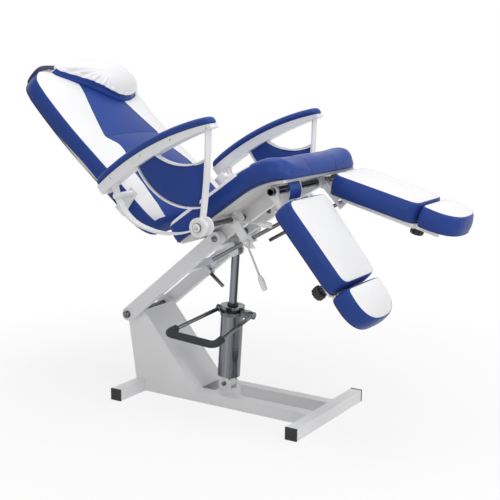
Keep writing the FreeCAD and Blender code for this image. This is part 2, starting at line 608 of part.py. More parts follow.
def pedal(height):
    """Looped pedal on the stubs of the pump head, with its rubber sleeve."""
    reach, drop = -d.pedal_reach, height - d.pedal_drop
    route = [V(0, d.pedal_rear, height), V(reach, d.pedal_rear_out, drop),
             V(reach, -d.pedal_front_out, drop),
             V(0, -d.pedal_front, height)]
    loop = pipe("pedal_bar", route, d.pedal_rod_radius, d.pedal_bend)
    parts, holes = [loop], []
    for y in (-d.pedal_front, d.pedal_rear):
        ends = FreeCAD.Placement(V(0, y - d.pedal_eye_thick / 2, height),
                                 FreeCAD.Rotation(V(0, 0, 1), V(0, 1, 0)))
        parts.append(rod(f"pedal_eye_{len(parts)}", "pedal_eye_radius", "pedal_eye_thick", ends))
        through = FreeCAD.Placement(ends.Base - V(0, d.overrun, 0), ends.Rotation)
        holes.append(rod(f"pedal_hole_{len(parts)}", "pedal_stub_radius + fit_clear",
                         "pedal_eye_thick + 2 * overrun", through))
    whole = piece("pedal_loop", cut("pedal_loop", fuse("pedal_weld", *parts), *holes))
    middle = (d.pedal_rear_out - d.pedal_front_out) / 2
    lying = FreeCAD.Placement(V(reach, middle - d.sleeve_length / 2, drop),
                              FreeCAD.Rotation(V(0, 0, 1), V(0, 1, 0)))
    outer = rod("sleeve_outer", "sleeve_radius", "sleeve_length", lying)
    hole = rod("sleeve_hole", "pedal_rod_radius + fit_clear", "sleeve_length", lying)
    return whole, piece("pedal_sleeve", cut("pedal_sleeve", outer, hole))


def seat_line(along):
    """Underside of the seat cushion, straight and then dropping to the nose."""
    return bent_line(SEAT, d.seat_flat, d.seat_bend_radius, -d.seat_bend, along)


def seat_arc(up, start, end):
    """Arc beside the bent part of the seat, between two turns in shares of the bend."""
    points = []
    for share in (start, (start + end) / 2, end):
        line = seat_line(d.seat_flat + d.seat_bend_radius * math.radians(d.seat_bend) * share)
        points.append(line.at(0, up))
    return points


def curved_board(line_at, spots, low, high):
    """Outline of a board that runs straight and then bends, between two distances from its line."""
    start, bend, end = spots
    rows = []
    for up in (low, high):
        first = line_at(start).at(0, up)
        rows.append((first, [line_at(spot).at(0, up) for spot in (bend, (bend + end) / 2, end)]))
    (low_first, low_arc), (high_first, high_arc) = rows
    return [Part.LineSegment(flat(low_first), flat(low_arc[0])), arc(*low_arc),
            Part.LineSegment(flat(low_arc[2]), flat(high_arc[2])), arc(*reversed(high_arc)),
            Part.LineSegment(flat(high_arc[0]), flat(high_first)),
            Part.LineSegment(flat(high_first), flat(low_first))]


def seat():
    """Cushion, board, frame rails, hub shafts with blocks, hinge tube and flaps."""
    nose = d.seat_flat + d.seat_bend_radius * math.radians(d.seat_bend)
    edge, waist = d.seat_edge_round, d.seat_waist
    full, thick, crown = d.seat_width - 2 * waist, d.seat_thick, d.seat_crown
    place_shares = (0.16, 0.32, 0.48, 0.64, 0.7, 0.76, 0.82, 0.88)
    waist_shares = (0.75, 0.3, 0, 0.1, 0.25, 0.45, 0.7, 0.9)
    spots = [(0, full + waist, thick, crown / 2)]
    spots += [(nose * place, full + waist * out, thick, crown) for place,
              out in zip(place_shares, waist_shares)]
    spots.append((nose + d.seat_nose, full + waist, thick, crown / 2))
    rows = rounded(spots, edge, d.seat_nose_round)
    full_pad = pad("seat_cushion_full", 0, seat_line, rows, -d.gap, waist / 2)
    reach = nose + d.seat_nose + d.seat_edge_round
    trim = plate("seat_trim",
                 curved_board(seat_line, (-d.board_inset, d.seat_flat, reach), -d.board_thick, d.gap),
                 "seat_width + 4 * seat_waist", -d.seat_width / 2 - 2 * waist)
    piece("seat_cushion", cut("seat_cushion", full_pad, trim))
    outline = curved_board(seat_line, (d.board_inset, d.seat_flat, nose), -d.board_thick, 0)
    board = piece("seat_board", plate("seat_board", outline, "board_width", -d.board_width / 2))
    seat_rails()
    spine = across(-d.hinge_tube_length / 2, *LEG_HINGE)
    tube = rod("hinge_tube_outer", "hinge_tube_radius", "hinge_tube_length", spine)
    inside = rod("hinge_tube_inside", "hinge_tube_radius - hinge_tube_wall", "hinge_tube_length", spine)
    piece("leg_hinge_tube", cut("leg_hinge_tube", tube, inside))
    flaps = []
    begin, end = d.flap_top_angle, -d.leg_low_angle / 2
    for way, side in SIDES:
        x = d.flap_x if way > 0 else -d.flap_x - d.flap_width
        rows = []
        for radius in (d.flap_radius, d.flap_radius - d.flap_thick):
            rows.append([Line(*LEG_HINGE, angle, FORWARD).at(radius)
                         for angle in (begin, (begin + end) / 2, end)])
        outer, inner = rows
        outline = [arc(*outer), Part.LineSegment(flat(outer[2]), flat(inner[2])), arc(*reversed(inner)),
                   Part.LineSegment(flat(inner[0]), flat(outer[0]))]
        flaps.append(cut(f"flap_{side}", plate(f"flap_raw_{side}", outline, "flap_width", x), board))
    piece("front_flaps", group("front_flaps", *flaps))


def seat_rails():
    """Frame rails below the board, with the hub shafts and their blocks."""
    under = -d.board_thick
    arc_top = seat_arc(under, 0, 3 / 4)
    deep = -d.board_thick - d.seat_rail_depth
    front_low = ROD_LINE.at(d.hinge_tube_radius + d.knuckle_wall, -d.hinge_tube_radius - d.knuckle_wall)
    start = d.seat_rail_start
    ring = (arc_top[2], front_low, SEAT.at(d.seat_flat, deep), SEAT.at(start, deep),
            SEAT.at(start, under), arc_top[0])
    outline = [arc(*arc_top)] + [Part.LineSegment(flat(a), flat(b)) for a, b in zip(ring, ring[1:])]
    holes = [(*SEAT_PIVOT, d.seat_shaft_radius + d.fit_clear), (*HUB, d.hub_shaft_radius + d.fit_clear),
             (*LEG_HINGE, d.hinge_tube_radius + d.fit_clear)]
    rails, shafts, blocks = [], [], []
    tip = ARM_OUTER + d.gap + d.hub_disc_thick + d.gap
    for way, side in SIDES:
        x = RAIL_IN if way > 0 else -RAIL_IN - d.seat_rail_width
        rails.append(plate(f"seat_rail_{side}", outline, "seat_rail_width", x, holes))
        first = RAIL_IN if way > 0 else -tip
        length = "arm_x + band_width / 2 + 2 * gap + hub_disc_thick - seat_rails_inside / 2"
        shaft = rod(f"hub_shaft_bar_{side}", "hub_shaft_radius", length, across(first, *HUB))
        cap = rod(f"hub_shaft_cap_{side}", "hub_disc_radius / 2", "hub_cap_thick",
                  across(tip if way > 0 else -tip - d.hub_cap_thick, *HUB))
        shafts.append(fuse(f"hub_shaft_{side}", shaft, cap))
        x = d.block_x if way > 0 else -d.block_x - d.block_width
        place = SEAT.placed(x, d.hub_along + d.block_length / 2, under - d.block_height)
        block = box(f"block_{side}", "block_width", "block_length", "block_height", place)
        hole = rod(f"block_hole_{side}", "hub_shaft_radius + fit_clear", "block_width + 2 * overrun",
                   across(x - d.overrun, *HUB))
        blocks.append(cut(f"hub_block_{side}", block, hole))
    piece("seat_rails", group("seat_rails", *rails))
    piece("hub_shafts", group("hub_shafts", *shafts))
    piece("hub_blocks", group("hub_blocks", *blocks))


def clamp_line(swing):
    """Pin of a lock rod on its line, at a leg's swing from the middle of its range."""
    return ROD_LINE.at(ROD_PER_DEGREE * swing, -d.crank_line)


SWINGS = {"right": LEG_MID_ANGLE - d.leg_low_angle, "left": LEG_MID_ANGLE - d.leg_high_angle}
CLAMP = ROD_LINE.at(-d.clamp_along, -d.crank_line)


def lock_rods():
    """Chrome rods from the legs through their clamps, with the bracket plates that carry the clamps."""
    axis = V(0, *ROD_LINE.along)
    clamps, brackets = [], []
    for way, side in SIDES:
        x = way * d.rod_line_x
        pin_y, pin_z = clamp_line(SWINGS[side])
        turn = FreeCAD.Rotation(V(0, 0, 1), axis * -1)
        bar = rod(f"lock_bar_{side}", "lock_rod_radius", "lock_rod_length",
                  FreeCAD.Placement(V(x, pin_y, pin_z), turn))
        pin_x = x if way < 0 else x - d.crank_pin_length
        pin = rod(f"lock_pin_{side}", "crank_pin_radius", "crank_pin_length", across(pin_x, pin_y, pin_z))
        piece(f"leg_lock_rod_{side}", fuse(f"leg_lock_rod_{side}", bar, pin))
        half = d.lock_rod_radius + d.clamp_wall
        low = ROD_LINE.placed(x - half, -d.clamp_along, -d.crank_line - half)
        block = box(f"clamp_block_{side}", "2 * lock_rod_radius + 2 * clamp_wall", "clamp_length",
                    "2 * lock_rod_radius + 2 * clamp_wall", low)
        hole = rod(f"clamp_hole_{side}", "lock_rod_radius + fit_clear", "clamp_length + 2 * overrun",
                   FreeCAD.Placement(V(x, *ROD_LINE.at(d.overrun - d.clamp_along, -d.crank_line)), turn))
        clamps.append(cut(f"clamp_{side}", block, hole))
        outer = x + way * half
        plate_x = outer if way > 0 else outer - d.bracket_plate
        top_up = -d.board_thick - d.block_height
        low_mid = ROD_LINE.at(-d.clamp_along - d.clamp_length / 2, -d.crank_line - half - d.bracket_low)
        wide = d.bracket_width / 2
        corners = (SEAT.at(d.hub_along + wide, top_up), SEAT.at(d.hub_along - wide, top_up),
                   (low_mid[0] + wide, low_mid[1]), (low_mid[0] - wide, low_mid[1]))
        bracket = plate(f"bracket_plate_{side}", lines(*corners), "bracket_plate", plate_x)
        if side == "right":
            reach = -BRACKET_OUT - 2 * d.gap - d.lever_eye_thick
            stub = rod("legs_lever_pin", "lever_pin_radius", "lever_eye_thick + 2 * gap",
                       across(reach, *LEGS_LEVER_PIN))
            bracket = fuse("bracket_with_pin", bracket, stub)
        brackets.append(bracket)
    piece("rod_clamps", group("rod_clamps", *clamps))
    piece("lever_brackets", group("lever_brackets", *brackets))


BRACKET_OUT = d.rod_line_x + d.lock_rod_radius + d.clamp_wall + d.bracket_plate
LEGS_LEVER_PIN = ROD_LINE.at(-d.clamp_along - d.clamp_length / 2, -d.crank_line - d.lock_rod_radius)


def lever(name, x, pivot, slope, length, eye, hole_radius):
    """Release lever: an eye, a thin rod and its grip, in the fore-and-aft plane."""
    thick = "lever_eye_thick"
    start = -x - d.lever_eye_thick / 2
    disc = rod(name + "_disc", eye, thick, across(start, *pivot))
    turn = math.radians(slope)
    way = V(0, -math.cos(turn), -math.sin(turn))
    lie = FreeCAD.Rotation(V(0, 0, 1), way)
    stem = rod(name + "_stem", "lever_rod_radius", length, FreeCAD.Placement(V(-x, *pivot), lie))
    hole = rod(name + "_hole", hole_radius + " + fit_clear", "lever_eye_thick + 2 * overrun",
               across(start - d.overrun, *pivot))
    piece(name + "_rod", cut(name + "_rod", fuse(name + "_weld", disc, stem), hole))
    grip_at = V(-x, *pivot) + way * getattr(d, length)
    grip = rod(name + "_grip_body", "grip_radius", "grip_length", FreeCAD.Placement(grip_at, lie))
    crown = bind(DOC.addObject("Part::Fillet", name + "_grip"))
    crown.Base = grip
    DOC.recompute()
    round_off = d.grip_radius / 2
    crown.Edges = [(count + 1, round_off, round_off) for count, edge in enumerate(grip.Shape.Edges)
                   if edge.Curve.TypeId == "Part::GeomCircle"]
    piece(name + "_grip", crown)


def levers():
    """Recline lever on the hub shaft and leg lever on its own pin at the bracket."""
    gap_out = d.lever_eye_thick / 2 + d.gap
    lever("recline_lever", BRACKET_OUT + gap_out, HUB, d.recline_lever_slope,
          "recline_lever_length", "lever_eye_radius", "hub_shaft_radius")
    lever("legs_lever", BRACKET_OUT + gap_out, LEGS_LEVER_PIN, d.legs_lever_slope,
          "legs_lever_length", "lever_pin_eye", "lever_pin_radius")


def leg(way, side):
    """Leg rest: padded calf on a welded frame, padded foot on a slide, clamp knob."""
    line = LEGS[side]
    x = way * d.leg_spread / 2
    start, length = d.leg_start, d.leg_length
    wide, narrow, thick, crown = d.leg_width, d.leg_end_width, d.leg_thick, d.leg_crown
    end = start + length
    deck = Line(*line.at(0, -d.leg_deck_drop), line.angle, FORWARD)

    def line_at(along):
        return Line(*deck.at(along), line.angle, FORWARD)

    place_shares = (0.25, 0.5, 0.75)
    draw_shares = (0.75, 1, 0.75)
    spots = [(start, wide, thick, crown)]
    spots += [(start + length * place, wide - (wide - narrow) * place - crown * draw, thick,
               crown * (1 + draw))
              for place, draw in zip(place_shares, draw_shares)]
    spots.append((end, narrow, thick, crown))
    rows = rounded(spots, d.leg_round, d.leg_round)
    calf = pad(f"calf_full_{side}", x, line_at, rows, d.leg_plate - d.gap, crown / 2)
    toe = end + d.foot_gap
    foot = d.foot_length_pad
    bow_shares = ((0.35, 0.97), (0.58, 0.88), (0.76, 0.74), (0.9, 0.56))
    spots = [(toe, narrow, thick, crown)]
    spots += [(toe + foot * place, narrow * width, thick, crown) for place, width in bow_shares]
    spots.append((toe + foot, d.foot_tip_width, d.foot_tip_thick, crown))
    sole = pad(f"sole_full_{side}", x, line_at, rounded(spots, d.leg_round, d.leg_round / 2),
               d.leg_plate - d.gap, crown / 2)
    for node, soft, low, length_of in (("leg_cushion", calf, end, "leg_length"),
                                       ("foot_cushion", sole, toe + foot,
                                                                                "foot_length_pad")):
        trim = box(f"{node}_trim_{side}", "leg_width + 4 * leg_crown", length_of + " + 2 * overrun",
                   "2 * leg_plate + gap",
                   deck.placed(x - wide / 2 - 2 * crown, low + d.overrun, -d.leg_plate))
        piece(f"{node}_{side}", cut(f"{node}_{side}", soft, trim))
    leg_frame(line, deck, x, way, side)
    foot_slide(deck, x, side, toe)


def leg_frame(line, under, x, way, side):
    """Plate, hinge knuckles on arms, crank plate and guide tube, welded into one frame."""
    shell = "hinge_tube_radius + fit_clear + knuckle_wall"
    around = d.hinge_tube_radius + d.fit_clear + d.knuckle_wall
    start = d.leg_start
    deck = box(f"deck_{side}", "leg_plate_width", "leg_length", "leg_plate",
               under.placed(x - d.leg_plate_width / 2, start + d.leg_length, 0))
    guide_end = d.guide_start + d.guide_length
    parts, tunnels = [deck], []
    wall = d.guide_wall
    for guide_x in (x - d.guide_spread / 2, x + d.guide_spread / 2):
        name = f"guide_{side}_{len(tunnels)}"
        low_x = guide_x - d.guide_side / 2
        parts.append(box(name, "guide_side", "guide_length", "guide_side",
                         under.placed(low_x, guide_end, -d.guide_side)))
        tunnels.append(box(name + "_inside", "guide_side - 2 * guide_wall", "guide_length + 2 * overrun",
                           "guide_side - 2 * guide_wall",
                           under.placed(low_x + wall, guide_end + d.overrun, wall - d.guide_side)))
    for spread in (-d.knuckle_spread / 2, d.knuckle_spread / 2):
        low_x = x + spread - d.knuckle_width / 2
        tag = f"{side}_{len(parts)}"
        parts.append(rod(f"knuckle_{tag}", shell, "knuckle_width", across(low_x, *LEG_HINGE)))
        ring = (line.at(0, -around), line.at(start, -around), under.at(start + d.guide_side, -d.guide_side),
                under.at(d.guide_start, 0), under.at(start, d.leg_plate), line.at(0, around))
        parts.append(plate(f"hinge_arm_{tag}", lines(*ring), "knuckle_width", low_x))
    crank_turn = -(90 - d.rod_line_angle) + LEG_MID_ANGLE
    crank = Line(*LEG_HINGE, line.angle + crank_turn, FORWARD)
    crank_x = d.crank_plate_x if way > 0 else -d.crank_plate_x - d.crank_plate
    far, wide = d.crank_radius + 2 * d.crank_margin, 2 * d.crank_margin
    ring = (crank.at(0, -around), crank.at(far, -wide), crank.at(far, wide),
            under.at(d.guide_start, 0), under.at(start, 0), line.at(0, around))
    parts.append(plate(f"crank_{side}", lines(*ring), "crank_plate", crank_x))
    window_low = d.crank_line - d.crank_pin_radius - d.crank_margin / 4
    window = box(f"crank_window_{side}", "crank_plate + 2 * overrun", "2 * crank_margin",
                 "2 * crank_margin - overrun",
                 crank.placed(crank_x - d.overrun, window_low + 2 * d.crank_margin,
                              -d.crank_margin + d.overrun / 2))
    hole = rod(f"knuckle_hole_{side}", "hinge_tube_radius + fit_clear", "leg_width",
               across(x - d.leg_width / 2, *LEG_HINGE))
    screw_along = guide_end - d.knob_from_end
    knob_x = x + way * d.guide_spread / 2
    screw = under.at(screw_along, -d.guide_side - d.overrun)
    screw_hole = rod(f"knob_hole_{side}", "knob_screw_radius + fit_clear", "guide_wall + 2 * overrun",
                     FreeCAD.Placement(V(knob_x, *screw), FreeCAD.Rotation(V(0, 0, 1), V(0, *line.up))))
    frame = cut(f"leg_frame_{side}", fuse(f"leg_weld_{side}", *parts), window, hole, *tunnels, screw_hole)
    piece(f"leg_frame_{side}", frame)
    knob(under, knob_x, side, screw_along)


def knob(line, x, side, along):
    """Clamp knob below the guide tube, with its screw through the tube wall."""
    top = -d.guide_side - d.knob_collar
    low = top - d.knob_neck
    lie = FreeCAD.Rotation(V(0, 0, 1), V(0, *line.up))
    body = rod(f"knob_body_{side}", "knob_radius", "knob_height",
               FreeCAD.Placement(V(x, *line.at(along, low - d.knob_height)), lie))
    neck = rod(f"knob_neck_{side}", "knob_neck_radius", "knob_neck",
               FreeCAD.Placement(V(x, *line.at(along, low)), lie))
    screw = rod(f"knob_screw_{side}", "knob_screw_radius", "knob_collar + guide_wall - gap",
                FreeCAD.Placement(V(x, *line.at(along, top)), lie))
    piece(f"clamp_knob_{side}", fuse(f"clamp_knob_{side}", body, neck, screw))


def foot_slide(line, x, side, toe):
    """Foot plate with the bar that slides in the guide tube."""
    centre_up = -d.guide_side / 2
    half = d.slide_side / 2
    bar_end = toe + d.foot_length_pad / 2
    run = ("slide_inside + foot_gap + foot_length_pad / 2 + leg_start + leg_length"
           " - guide_start - guide_length")
    parts = []
    for bar_x in (x - d.guide_spread / 2 - half, x + d.guide_spread / 2 - half):
        name = f"slide_bar_{side}_{len(parts)}"
        parts.append(box(name, "slide_side", run, "slide_side",
                         line.placed(bar_x, bar_end, centre_up - half)))
        parts.append(box(name + "_neck", "slide_side", "foot_length_pad / 2",
                         "guide_side / 2 - slide_side / 2 + gap",
                         line.placed(bar_x, bar_end, centre_up + half - d.gap)))
    deck = box(f"foot_deck_{side}", "leg_plate_width - leg_start", "foot_length_pad * 3 / 4", "leg_plate",
               line.placed(x - (d.leg_plate_width - d.leg_start) / 2, toe + d.foot_length_pad * 3 / 4, 0))
    piece(f"foot_slide_{side}", fuse(f"foot_slide_{side}", deck, *parts))


def back_line(along):
    """Rear face of the backrest, straight and then curving up towards the head."""
    return bent_line(BACK, d.back_flat, d.back_bend_radius, d.back_bend, along)


def backrest():
    """Board, cushion and head pillow."""
    top = d.back_flat + d.back_bend_radius * math.radians(d.back_bend)
    edge, waist = d.seat_edge_round, d.back_waist
    rise, thick, wide, crown = d.back_board + d.gap, d.back_thick, d.back_width - 2 * waist, d.back_crown
    narrowing = wide - d.back_top_width
    place_shares = (0.2, 0.45, 0.6, 0.7, 0.8, 0.86, 0.9, 0.925, 0.945, 0.962, 0.977, 0.986)
    taper_shares = (0, 0, 0, 0, 0, 0.01, 0.047, 0.133, 0.253, 0.4, 0.58, 0.74)
    draw_shares = (0.6, 1, 0.7, 0.5, 0.3, 0.1, 0, 0, 0, 0, 0, 0)
    spots = [(-d.back_root_round / 2, wide, thick, crown)]
    spots += [(top * place, wide - narrowing * taper - waist * draw, thick, crown)
              for place, taper, draw in zip(place_shares, taper_shares, draw_shares)]
    spots.append((top, d.back_top_width, thick, crown))
    rows = rounded(spots, d.back_root_round, d.back_top_round)
    full_pad = pad("back_cushion_full", 0, back_line, rows, d.back_board - d.gap, waist / 2)
    over = curved_board(back_line, (-d.back_root_round, d.back_flat, top + edge), -d.overrun,
                        d.back_board + d.gap)
    trim = plate("back_trim", over, "back_width + 4 * back_waist", -d.back_width / 2 - 2 * waist)
    piece("back_cushion", cut("back_cushion", full_pad, trim))
    spots = (d.back_root_round, d.back_flat, top - d.back_root_round)
    blank = plate("back_board_blank", curved_board(back_line, spots, 0, d.back_board),
                  "back_width - 2 * back_board_inset",
                  -BACK_BOARD_WIDTH / 2)
    corners = []
    for way, side in SIDES:
        inset = BACK_BOARD_WIDTH / 2 - d.back_top_width / 2 + edge
        line = back_line(top * place_shares[5])
        turn = FreeCAD.Rotation(V(1, 0, 0), line.angle) * FreeCAD.Rotation(
            V(0, 0, 1), way * math.degrees(math.atan2(inset, top - top * place_shares[5])))
        y, z = line.at(0, -d.back_width)
        corner = bind(DOC.addObject("Part::Box", f"back_corner_{side}"), Length="back_width",
                      Width="2 * back_width",
                      Height="2 * back_width")
        shift = V(0 if way > 0 else -d.back_width, 0, 0)
        corner.Placement = FreeCAD.Placement(V(way * BACK_BOARD_WIDTH / 2, y, z) + turn.multVec(shift), turn)
        corners.append(corner)
    piece("back_board", cut("back_board", blank, *corners))
    start, half = top - d.pillow_from_top, d.pillow_length / 2
    seat_up = rise + thick + crown + 3 * d.gap
    pillow_shares = ((-1, 0.8, 0.25), (-0.88, 0.9, 0.6), (-0.55, 0.97, 0.92), (0, 1, 1), (0.55, 0.97, 0.92),
                     (0.88, 0.9, 0.6), (1, 0.8, 0.25))
    rows = [(start + half + half * along, d.pillow_width * width, d.pillow_thick * height / 2,
             d.pillow_thick * height / 2) for along, width, height in pillow_shares]
    pillow = pad("head_pillow", d.pillow_shift, back_line, rows, seat_up, d.pillow_thick / 6)
    rest = back_line(start + half)
    turn = FreeCAD.Rotation(V(0, *rest.up), -d.pillow_turn_angle)
    pillow.Placement = FreeCAD.Placement(V(0, 0, 0), turn, V(d.pillow_shift, *rest.at(0, seat_up)))
    piece("head_pillow", pillow)


def hub_point(y, z):
    """Y and Z of a point given from the recline hub."""
    return HUB[0] + y, HUB[1] + z


def armrests():
    """Curved bars, posts, straps, rims, panels, pads and hubs of both armrests."""
    tail, mid = hub_point(d.arm_tail_y, d.arm_tail_z), hub_point(d.arm_mid_y, d.arm_mid_z)
    crest = (tail, mid, hub_point(d.arm_tip_y, d.arm_tip_z))
    middle, radius = centre(*crest)
    inside = radius - d.arm_bar_thick / 2
    post_top = (HUB[0] + d.post_top_y,
                middle[1] + math.sqrt(inside ** 2 - (HUB[0] + d.post_top_y - middle[0]) ** 2))
    post = (post_top, hub_point(d.post_mid_y, d.post_mid_z), HUB)
    strap = ((hub_point(d.strap_top_y, d.strap_top_z), hub_point(d.strap_bow_y, d.strap_bow_z),
              hub_point(d.strap_low_y, d.strap_low_z)),
             (hub_point(d.strap_low_y, d.strap_low_z), hub_point(d.strap_sag_y, d.strap_sag_z), HUB))
    post_y = HUB[0] + d.post_mid_y
    high_rim = (hub_point(d.rim_high_back_y, d.rim_high_back_z),
                hub_point(d.rim_high_mid_y, d.rim_high_mid_z),
                (post_y, HUB[1] + d.rim_high_front_z))
    low_rim = (hub_point(d.rim_low_back_y, d.rim_low_back_z), hub_point(d.rim_low_mid_y, d.rim_low_mid_z),
               (HUB[0], HUB[1] + d.rim_low_front_z))
    pin = hub_point(d.back_pin_y, d.back_pin_z)
    kinds = {kind: [] for kind in ("armrest_bars", "armrest_posts", "armrest_straps", "armrest_rims",
                                   "armrest_panels", "hub_discs", "back_pins")}
    under = moved_out(crest, -d.arm_bar_deep)[:2] + moved_out(crest, -d.arm_bar_thick)[2:]
    for way, side in SIDES:
        low_x = way * d.arm_x - d.band_width / 2
        edges = [arc(*crest), Part.LineSegment(flat(crest[2]), flat(under[2])), arc(*reversed(under)),
                 Part.LineSegment(flat(under[0]), flat(crest[0]))]
        bar = plate(f"arm_bar_{side}", edges, "arm_bar_width", way * d.arm_x - d.arm_bar_width / 2)
        core = rod(f"hub_core_tool_{side}", "hub_core_radius", "band_width", across(low_x, *HUB))
        pin_x = low_x - d.overrun
        pin_tool = rod(f"pin_tool_{side}", "back_pin_radius", "band_width + 2 * overrun",
                       across(pin_x, *pin))
        half = d.band_thick / 2
        post_raw = plate(f"post_raw_{side}", band([post], -half, half), "band_width", low_x)
        post_piece = cut(f"arm_post_{side}", post_raw, bar, core)
        strap_raw = plate(f"strap_raw_{side}", band(strap, -half, half), "band_width", low_x)
        strap_piece = cut(f"arm_strap_{side}", strap_raw, bar, core, pin_tool, post_raw)
        kinds["armrest_bars"].append(bar)
        kinds["armrest_posts"].append(post_piece)
        kinds["armrest_straps"].append(strap_piece)
        rims_and_panel(kinds, way, side, high_rim, low_rim, (bar, post_raw, core))
        kinds["hub_discs"].append(hub(way, side, low_x))
        kinds["back_pins"].append(back_pin(way, side, pin))
        pad_edges = band([crest], d.gap, d.gap + d.arm_pad_thick)
        cushion = plate(f"arm_pad_blank_{side}", pad_edges, "arm_pad_width",
                        way * d.arm_x - d.arm_pad_width / 2)
        DOC.recompute()
        soft = DOC.addObject("Part::Fillet", f"armrest_pad_{side}")
        soft.Base = cushion
        round_off = d.arm_pad_thick / 3
        top_edges = [count + 1 for count, edge in enumerate(cushion.Shape.Edges)
                     if edge.Curve.TypeId == "Part::GeomCircle"
                     and edge.Curve.Radius > radius + d.arm_pad_thick / 2]
        soft.Edges = [(number, round_off, round_off) for number in top_edges]
        piece(f"armrest_pad_{side}", soft)
    for kind, members in kinds.items():
        piece(kind, group(kind, *members))


def rims_and_panel(kinds, way, side, high_rim, low_rim, neighbours):
    """Two curved rims across an armrest and the padded panel between them."""
    half = d.rim_thick / 2
    x = way * d.arm_x - d.rim_width / 2
    tools = list(neighbours)
    for name, curve in (("high", high_rim), ("low", low_rim)):
        raw = plate(f"rim_{name}_raw_{side}", band([curve], -half, half), "rim_width", x)
        kinds["armrest_rims"].append(cut(f"rim_{name}_{side}", raw, *neighbours))
        tools.append(raw)
    top = moved_out(high_rim, half + d.gap)
    low = moved_out(low_rim, -half - d.gap)
    outline = [arc(*top), Part.LineSegment(flat(top[2]), flat(low[2])), arc(*reversed(low)),
               Part.LineSegment(flat(low[0]), flat(top[0]))]
    raw = plate(f"panel_raw_{side}", outline, "panel_thick", way * d.arm_x - d.panel_thick / 2)
    kinds["armrest_panels"].append(cut(f"panel_{side}", raw, *tools))


def hub(way, side, low_x):
    """Spool of two discs that turns on the hub shaft, with the armrest welded between them."""
    core = rod(f"hub_core_{side}", "hub_core_radius", "band_width + 2 * gap + 2 * hub_disc_thick",
               across(low_x - d.gap - d.hub_disc_thick, *HUB))
    discs = [rod(f"hub_disc_{name}_{side}", "hub_disc_radius", "hub_disc_thick", across(x, *HUB))
             for name, x in (("a", low_x - d.gap - d.hub_disc_thick), ("b", low_x + d.band_width + d.gap))]
    hole = rod(f"hub_hole_{side}", "hub_shaft_radius + fit_clear", "arm_x",
               across(low_x - d.arm_x / 2, *HUB))
    return cut(f"hub_spool_{side}", fuse(f"hub_weld_{side}", core, *discs), hole)


def back_pin(way, side, pin):
    """Side plate on the edge of the back board, with the pin that carries the strap."""
    plate_x = d.back_width / 2 + d.gap
    x = plate_x if way > 0 else -plate_x - d.back_plate
    reach = ARM_OUTER + d.overrun - plate_x
    bar = bind(DOC.addObject("Part::Cylinder", f"back_pin_bar_{side}"), Radius="back_pin_radius")
    bar.Height = reach
    bar.Placement = across(plate_x if way > 0 else -plate_x - reach, *pin)
    along = (pin[0] - BACK.y) * BACK.along[0] + (pin[1] - BACK.z) * BACK.along[1]
    up = (pin[0] - BACK.y) * BACK.up[0] + (pin[1] - BACK.z) * BACK.up[1]
    wide = d.back_plate_width / 2
    cap = d.back_pin_radius + d.back_plate
    ring = (BACK.at(along - cap, up + cap), BACK.at(along + cap, up + cap), BACK.at(along + wide, 0),
            BACK.at(along - wide, 0))
    side_plate = plate(f"back_plate_{side}", lines(*ring), "back_plate", x)
    foot_x = BACK_BOARD_WIDTH / 2
    foot = bind(DOC.addObject("Part::Box", f"back_foot_{side}"), Width="back_plate_width",
                Height="back_board")
    foot.Length = plate_x + d.back_plate - foot_x
    foot.Placement = FreeCAD.Placement(V(foot_x if way > 0 else -foot_x - (plate_x + d.back_plate - foot_x),
                                         *BACK.at(along - wide)), FreeCAD.Rotation(V(1, 0, 0), BACK.angle))
    return fuse(f"back_pin_{side}", side_plate, bar, foot)


def main():
    """Build every sub-part, check it, stand it on its footprint and write it."""
    base()
    tower()
    pump_stand()
    lift_fork()
    tilt_lever()
    pump()
    seat()
    lock_rods()
    levers()
    for way, side in SIDES:
        leg(way, side)
    backrest()
    armrests()
    DOC.recompute()
    failed = [obj.Name for obj in DOC.Objects if "Invalid" in obj.State or "Error" in obj.State]
    if failed:
        raise RuntimeError(f"not built: {failed}")
    whole = FreeCAD.BoundBox()
    for obj in PIECES:
        if obj.Shape.isNull() or not obj.Shape.isValid():
            raise RuntimeError(f"{obj.Label} has no valid shape")
        whole.add(obj.Shape.BoundBox)
    shift = V(-whole.Center.x, -whole.Center.y, -whole.ZMin)
    os.makedirs("parts", exist_ok=True)
    for obj in PIECES:
        shape = obj.Shape.copy()
        shape.translate(shift)
        shape.exportStep(f"parts/{obj.Label}.step")
    return shift, whole


SHIFT, WHOLE = main()
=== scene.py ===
"""Upholstery, finishes and small fittings of a hydraulic pedicure chair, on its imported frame."""
import json
import math

import bmesh
import bpy
import numpy as np
from bpy.props import FloatProperty, FloatVectorProperty, IntProperty, PointerProperty
from mathutils import Matrix, Vector


